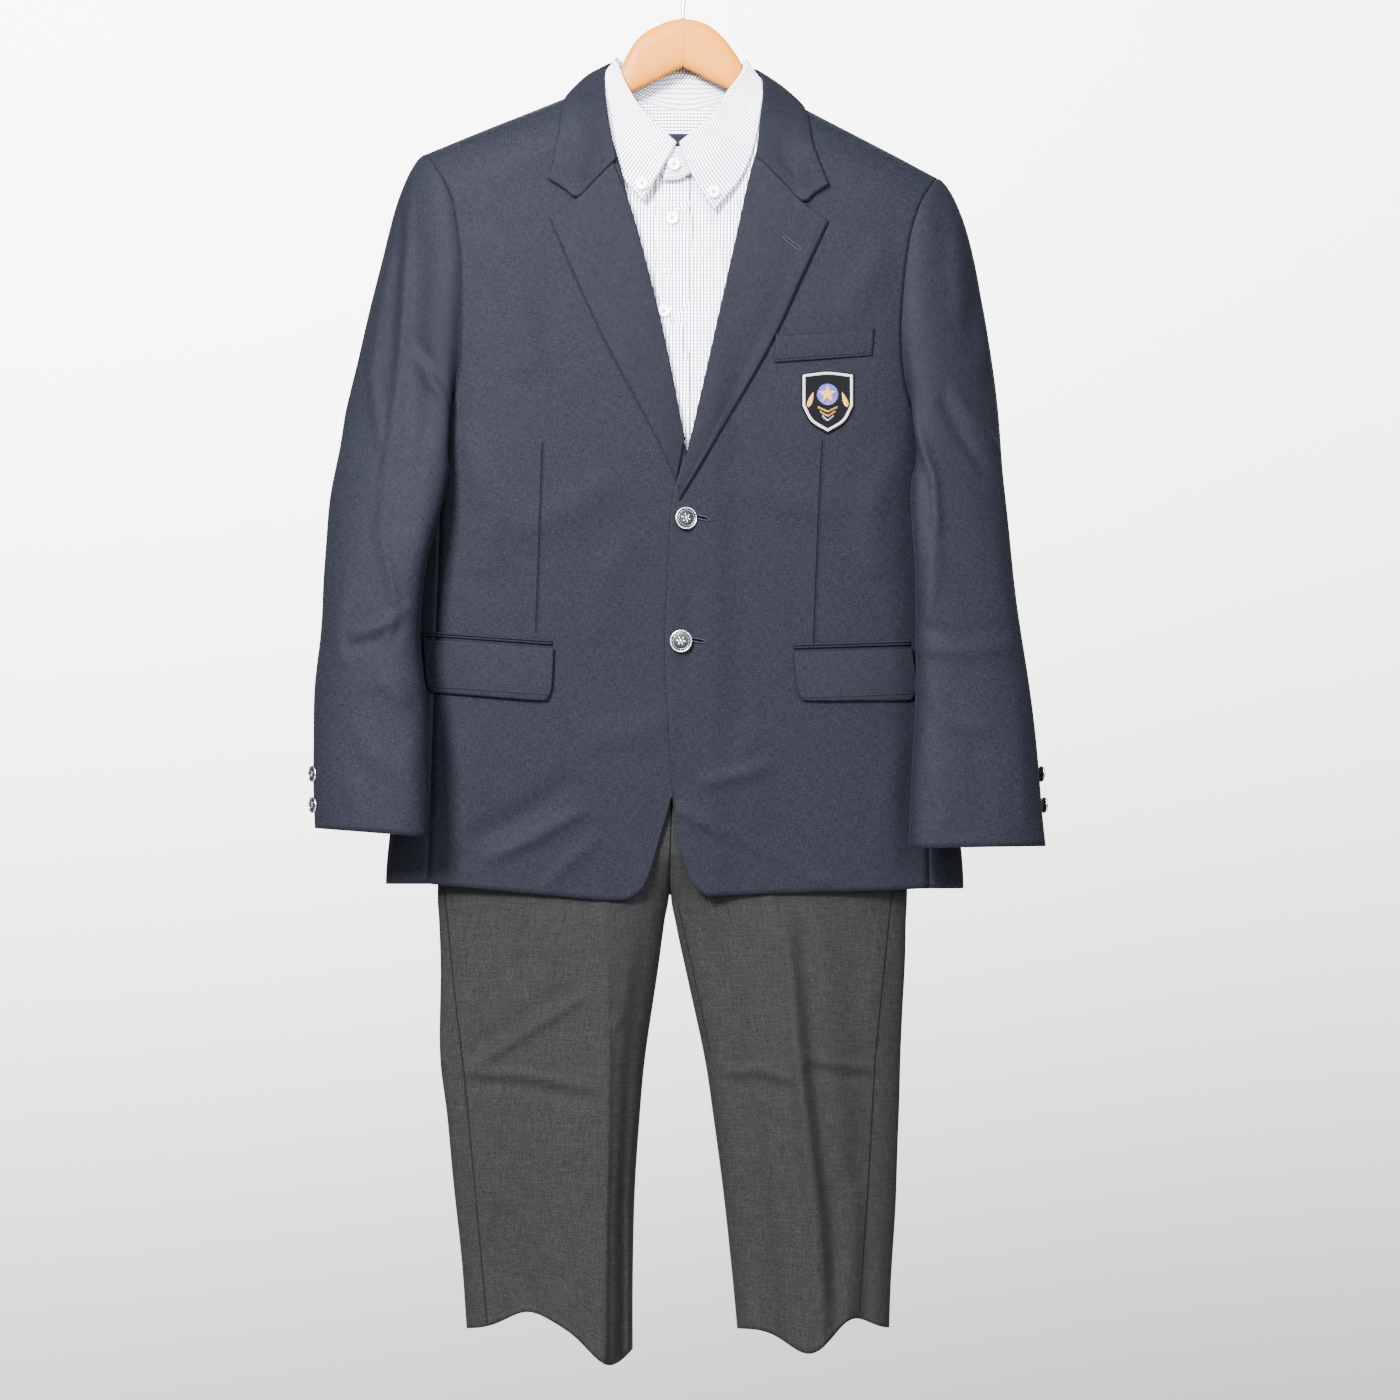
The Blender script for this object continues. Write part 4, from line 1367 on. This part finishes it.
def leg_sections(side, heights, fine):
    """Each row is a section of one half: inner edge, front crease, outer edge, back crease, inner edge.

    Between a crease and an edge the depth falls as sqrt(1 - r^sharpness), with a soft hollow
    beside the front crease. Above the crotch the inner edges stand open at the centre seams.
    """
    table = curve(LEGS[side], even(120))
    order = np.argsort(table[:, 0])
    outer, crease, inner, front, edge, back, sharp, hollow = [
        np.interp(heights, table[order, 0], table[order, column])[:, None] for column in range(1, 9)]
    middle = -9.0 - 3.5 * np.clip((-740 - heights[:, None]) / 100, 0, 1) + (0.2 if side == "right" else -0.2)
    inner = np.where(heights[:, None] > -842, middle, inner)
    share = np.interp(even(4 * fine) * 4, range(5), (1.0, 0.93, 0.62, 0.3, 0.0))
    wide = np.interp(even(6 * fine) * 6, range(7), (0.0, 0.22, 0.45, 0.68, 0.87, 0.965, 1.0))
    open_share = np.clip((heights[:, None] - CROTCH) / 40.0, 0.0, 1.0)
    parts = []
    for shares, end, depth, seam in ((share, inner, front, -31.0), (wide[1:], outer, front, None),
                                     (wide[::-1][1:], outer, back, None), (share[::-1][1:], inner, back, 13.0)):
        r = shares[None]
        fall = np.sqrt(np.maximum(1 - r**sharp, 0.0))
        if seam is not None:
            fall = fall + open_share * (1 - fall) * 0.97
        y = edge + (depth - edge) * fall
        if depth is front:
            y = y + hollow * np.sin(np.pi * r)**2 * (0.6 + 0.4 * np.cos(3 * np.pi * r))
        x = crease + (end - crease) * r
        parts.append(np.stack([x, y, heights[:, None] + 0 * x], axis=-1))
    return np.concatenate(parts, axis=1)


def hem_drop(side, x):
    """How far the hem hangs off level along its width: it dips at the crease and lifts beside it."""
    dip, at, wide, lift, beside, across = {"left": (33.0, -66.0, 27.0, 15.0, -140.0, 26.0),
                                           "right": (23.0, 114.0, 28.0, 12.0, 152.0, 20.0)}[side]
    return dip * np.exp(-((x - at) / wide)**2) - lift * np.exp(-((x - beside) / across)**2)


def charcoal_worsted(name, seams=()):
    """Charcoal yarns of two shades in a plain weave, a faint windowpane and dark seam lines."""
    charcoal = Finish(name, Specular_IOR_Level=0.03, Sheen_Weight=0.006, Sheen_Roughness=0.4)
    cloth = charcoal.where(on_cloth=True)
    u, v = charcoal.axis(cloth, "X"), charcoal.axis(cloth, "Y")
    wander = charcoal.noise(cloth, 9.0) * 0.0020
    pane = (u + wander).lines(0.0180, 0.0007, 0.0006)
    pane = pane.math("MAXIMUM", (v + wander).lines(0.0165, 0.0007, 0.0006))
    flecks = charcoal.specks(1300.0, 2.0)
    mottle = charcoal.specks(45.0, 4.0)
    slubs = charcoal.yarns(700.0, 60.0) * charcoal.yarns(60.0, 700.0)
    tone = charcoal.blend((flecks - 0.5) * 2.0 + 0.5, (0.0016, 0.0017, 0.0018, 1.0),
                          (0.0170, 0.0172, 0.0178, 1.0))
    tone = charcoal.blend((slubs * 4.2 - 0.62).math("MAXIMUM", 0.0) * 0.5, tone, (0.0022, 0.0023, 0.0024, 1.0))
    tone = charcoal.blend(mottle * 0.3, tone, (0.0052, 0.0053, 0.0055, 1.0))
    tone = charcoal.blend(pane * 0.10, tone, (0.013, 0.013, 0.0135, 1.0))
    height = flecks * 0.8 + mottle * 1.4
    place_here = charcoal.where()
    nearer = 1 - charcoal.axis(place_here, "Y") * (1 / 2.2)
    x, z = charcoal.axis(place_here, "X") * nearer, (charcoal.axis(place_here, "Z") + 0.67) * nearer - 0.67
    for start, end in runs(seams):
        line = mark(x, z, start, end)[0]
        tone = charcoal.blend(line * 0.55, tone, (0.0006, 0.0006, 0.0007, 1.0))
        height = height - line * 5.0
    return charcoal.feed(tone, mottle * 0.1 + 0.76, height, 0.00016)


charcoal = charcoal_worsted("charcoal_worsted")
leg_fronts = {
    "left": charcoal_worsted("charcoal_worsted_left", [
        [(-215, -838), (-205, -940), (-196.6, -1009), (-186.3, -1118), (-175.9, -1232)]]),
    "right": charcoal_worsted("charcoal_worsted_right", [
        [(-4.5, -854), (9.9, -917), (24.3, -986)],
        [(189, -838), (173.5, -992), (167.8, -1095), (159.3, -1222)]])}
LEG_FINE = 6
brim = TROUSER_TOP - WAISTBAND
for side in ("left", "right"):
    sign = SIGNS[side]
    heights = np.concatenate([np.linspace(-1236, -850, 100)[:-1], np.linspace(-850, brim, 40)])
    strip = leg_sections(side, heights, LEG_FINE)
    strip[..., 2] -= np.clip((-1100 - strip[..., 2]) / 136.0, 0.0, 1.0)**2 * hem_drop(side, strip[..., 0])
    outward = grid_normals(strip) * sign
    closed = heights < CROTCH + 1
    mean = outward[closed, 0] + outward[closed, -1]
    outward[closed, 0] = outward[closed, -1] = unit_of(mean)
    seen, hid = np.clip(-outward[..., 1], 0, 1), np.clip(outward[..., 1], 0, 1)
    flat = strip[..., [0, 2]]
    back_folds = [([(a * 0.98 - 4, b + 12) for a, b in line], width * 1.3, height * 0.9)
                  for line, width, height in LEG_FOLDS[side]]
    shown = np.clip((-800 - strip[..., 2]) / 60.0, 0.0, 1.0)
    round_leg = np.stack([flat[..., 0] + 2 * strip[..., 1], flat[..., 1]], axis=-1)
    creased = (folds(flat, LEG_FOLDS[side]) * seen + folds(flat, back_folds) * hid
               + rumple(round_leg, 61 + len(side), 130, 1.0)) * fade(strip.shape[1] - 1, 16) * shown
    pressed = sum(1.5 * np.exp(-np.linalg.norm(strip - strip[:, column:column + 1], axis=-1) / 4.5)
                  for column in (4 * LEG_FINE, 16 * LEG_FINE))
    pressed = pressed * np.clip((-640 - strip[..., 2]) / 60.0, 0.0, 1.0)
    shaped = strip + (creased * 1.5 + pressed)[..., None] * outward
    seam = 10 * LEG_FINE
    for name, columns in (("front", slice(0, seam + 1)), ("back", slice(seam, None))):
        piece = draw_in(shaped[:, columns], ("left", "right", "top"))
        leg = skin(f"trouser_{name}_panel_{side}", piece, outward[:, columns],
                   leg_fronts[side] if name == "front" else charcoal,
                   [f"trouser_{name}_{side}"], thick=TROUSER_CLOTH)
        cut(piece)
heights = np.linspace(brim, TROUSER_TOP, 10)
left, right = leg_sections("left", heights, LEG_FINE), leg_sections("right", heights, LEG_FINE)
ring = draw_in(np.concatenate([left[:, 1:-1], right[:, ::-1][:, 1:-1]], axis=1), ("bottom",))
waist = skin("trouser_waistband_ring", ring, -grid_normals(ring, closed=True), charcoal,
             ["trouser_waistband"], thick=TROUSER_CLOTH, round_about=True)
cut(np.concatenate([ring, ring[:, :1]], axis=1))


# The room is a bright, even studio: a pale floor out of sight, a soft white world that is
# lighter above and to the left, with large soft lights in front and one high behind.
FLOOR_REACH, FLOOR_HEIGHT, LIT_POINT = 2.6, -2.1, (0, 0, -0.62)
floor_paint = Finish("pale_floor", Base_Color=(0.62, 0.62, 0.63, 1.0), Roughness=0.8)
speckle = floor_paint.noise(floor_paint.where(), 3.0, 4.0)
floor_paint.feed(floor_paint.blend(speckle, (0.60, 0.60, 0.61, 1.0), (0.66, 0.66, 0.67, 1.0)))
floor_mesh = bpy.data.meshes.new("floor")
floor_mesh.from_pydata([(x * FLOOR_REACH, y * FLOOR_REACH, FLOOR_HEIGHT)
                        for x, y in ((-1, -1), (1, -1), (1, 1), (-1, 1))], [], [(0, 1, 2, 3)])
floor_mesh.materials.append(floor_paint.material)
floor = bpy.data.objects.new("floor", floor_mesh)
bpy.context.scene.collection.objects.link(floor)
floor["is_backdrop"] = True


def aimed(source, target):
    """Euler angles that turn an object's -Z from the source to the target, kept level."""
    x, y, z = np.array(target, float) - np.array(source, float)
    return (np.arctan2(np.hypot(x, y), -z), 0.0, np.arctan2(y, x) - np.pi / 2)


# Columns: name, place, size in metres, power in watts, colour.
LIGHTS = [("key", (-1.3, -2.7, 1.0), 0.8, 1000.0, (1.0, 0.99, 0.97)),
          ("fill", (1.2, -3.0, 0.3), 1.6, 220.0, (0.96, 0.98, 1.0)),
          ("top", (-0.3, -1.3, 1.3), 0.8, 90.0, (1.0, 1.0, 1.0)),
          ("back", (0.0, 2.9, 1.8), 1.4, 100.0, (1.0, 1.0, 1.0))]
for name, at, size, power, tint in LIGHTS:
    light = bpy.data.lights.new(name, "AREA")
    light.energy, light.size, light.color = power, size, tint
    lamp = bpy.data.objects.new(name, light)
    lamp.location, lamp.rotation_euler = at, aimed(at, LIT_POINT)
    bpy.context.scene.collection.objects.link(lamp)
sky = bpy.data.worlds.new("soft_white")
bpy.context.scene.world = sky
sky.use_nodes = True
nodes, links = sky.node_tree.nodes, sky.node_tree.links
direction = nodes.new("ShaderNodeTexCoord")
parts = nodes.new("ShaderNodeSeparateXYZ")
links.new(direction.outputs["Generated"], parts.inputs[0])


def range_of(socket, low, high, start, end):
    """The socket's value mapped smoothly from one range to another."""
    made = nodes.new("ShaderNodeMapRange")
    made.interpolation_type = "SMOOTHSTEP"
    links.new(socket, made.inputs[0])
    for key, value in enumerate((low, high, start, end), start=1):
        made.inputs[key].default_value = value
    return made.outputs[0]


def combined(operation, one, two):
    """Two sockets or numbers, joined by one operation."""
    made = nodes.new("ShaderNodeMath")
    made.operation = operation
    for key, value in enumerate((one, two)):
        if isinstance(value, float):
            made.inputs[key].default_value = value
        else:
            links.new(value, made.inputs[key])
    return made.outputs[0]


across, away, upward = [parts.outputs[axis] for axis in "XYZ"]
seen = combined("MULTIPLY", range_of(upward, -0.34, 0.30, 1.25, 8.6),
                range_of(across, -0.3, 0.4, 1.12, 0.72))
around = combined("MULTIPLY", range_of(upward, -0.6, 0.9, 0.6, 2.4),
                  range_of(away, -0.9, 0.1, 1.0, 0.35))
wide = combined("MAXIMUM", combined("ABSOLUTE", across, 0.0), combined("ABSOLUTE", upward, 0.0))
back = combined("MULTIPLY", range_of(away, 0.2, 0.4, 0.0, 1.0), range_of(wide, 0.31, 0.42, 1.0, 0.0))
strength = combined("ADD", combined("MULTIPLY", seen, back),
                    combined("MULTIPLY", around, combined("SUBTRACT", 1.0, back)))
background = nodes["Background"]
background.inputs["Color"].default_value = (0.985, 0.99, 1.0, 1.0)
links.new(strength, background.inputs["Strength"])
camera_data = bpy.data.cameras.new("camera")
SENSOR, VIEW_DISTANCE, VIEW_WIDTH = 36.0, 2.2, 1.26
camera_data.sensor_width, camera_data.lens = SENSOR, SENSOR * VIEW_DISTANCE / VIEW_WIDTH
camera = bpy.data.objects.new("camera", camera_data)
camera.location, camera.rotation_euler = (0.0153, -VIEW_DISTANCE, -0.6705), (np.pi / 2, 0, 0)
bpy.context.scene.collection.objects.link(camera)
bpy.context.scene.camera = camera
low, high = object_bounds()
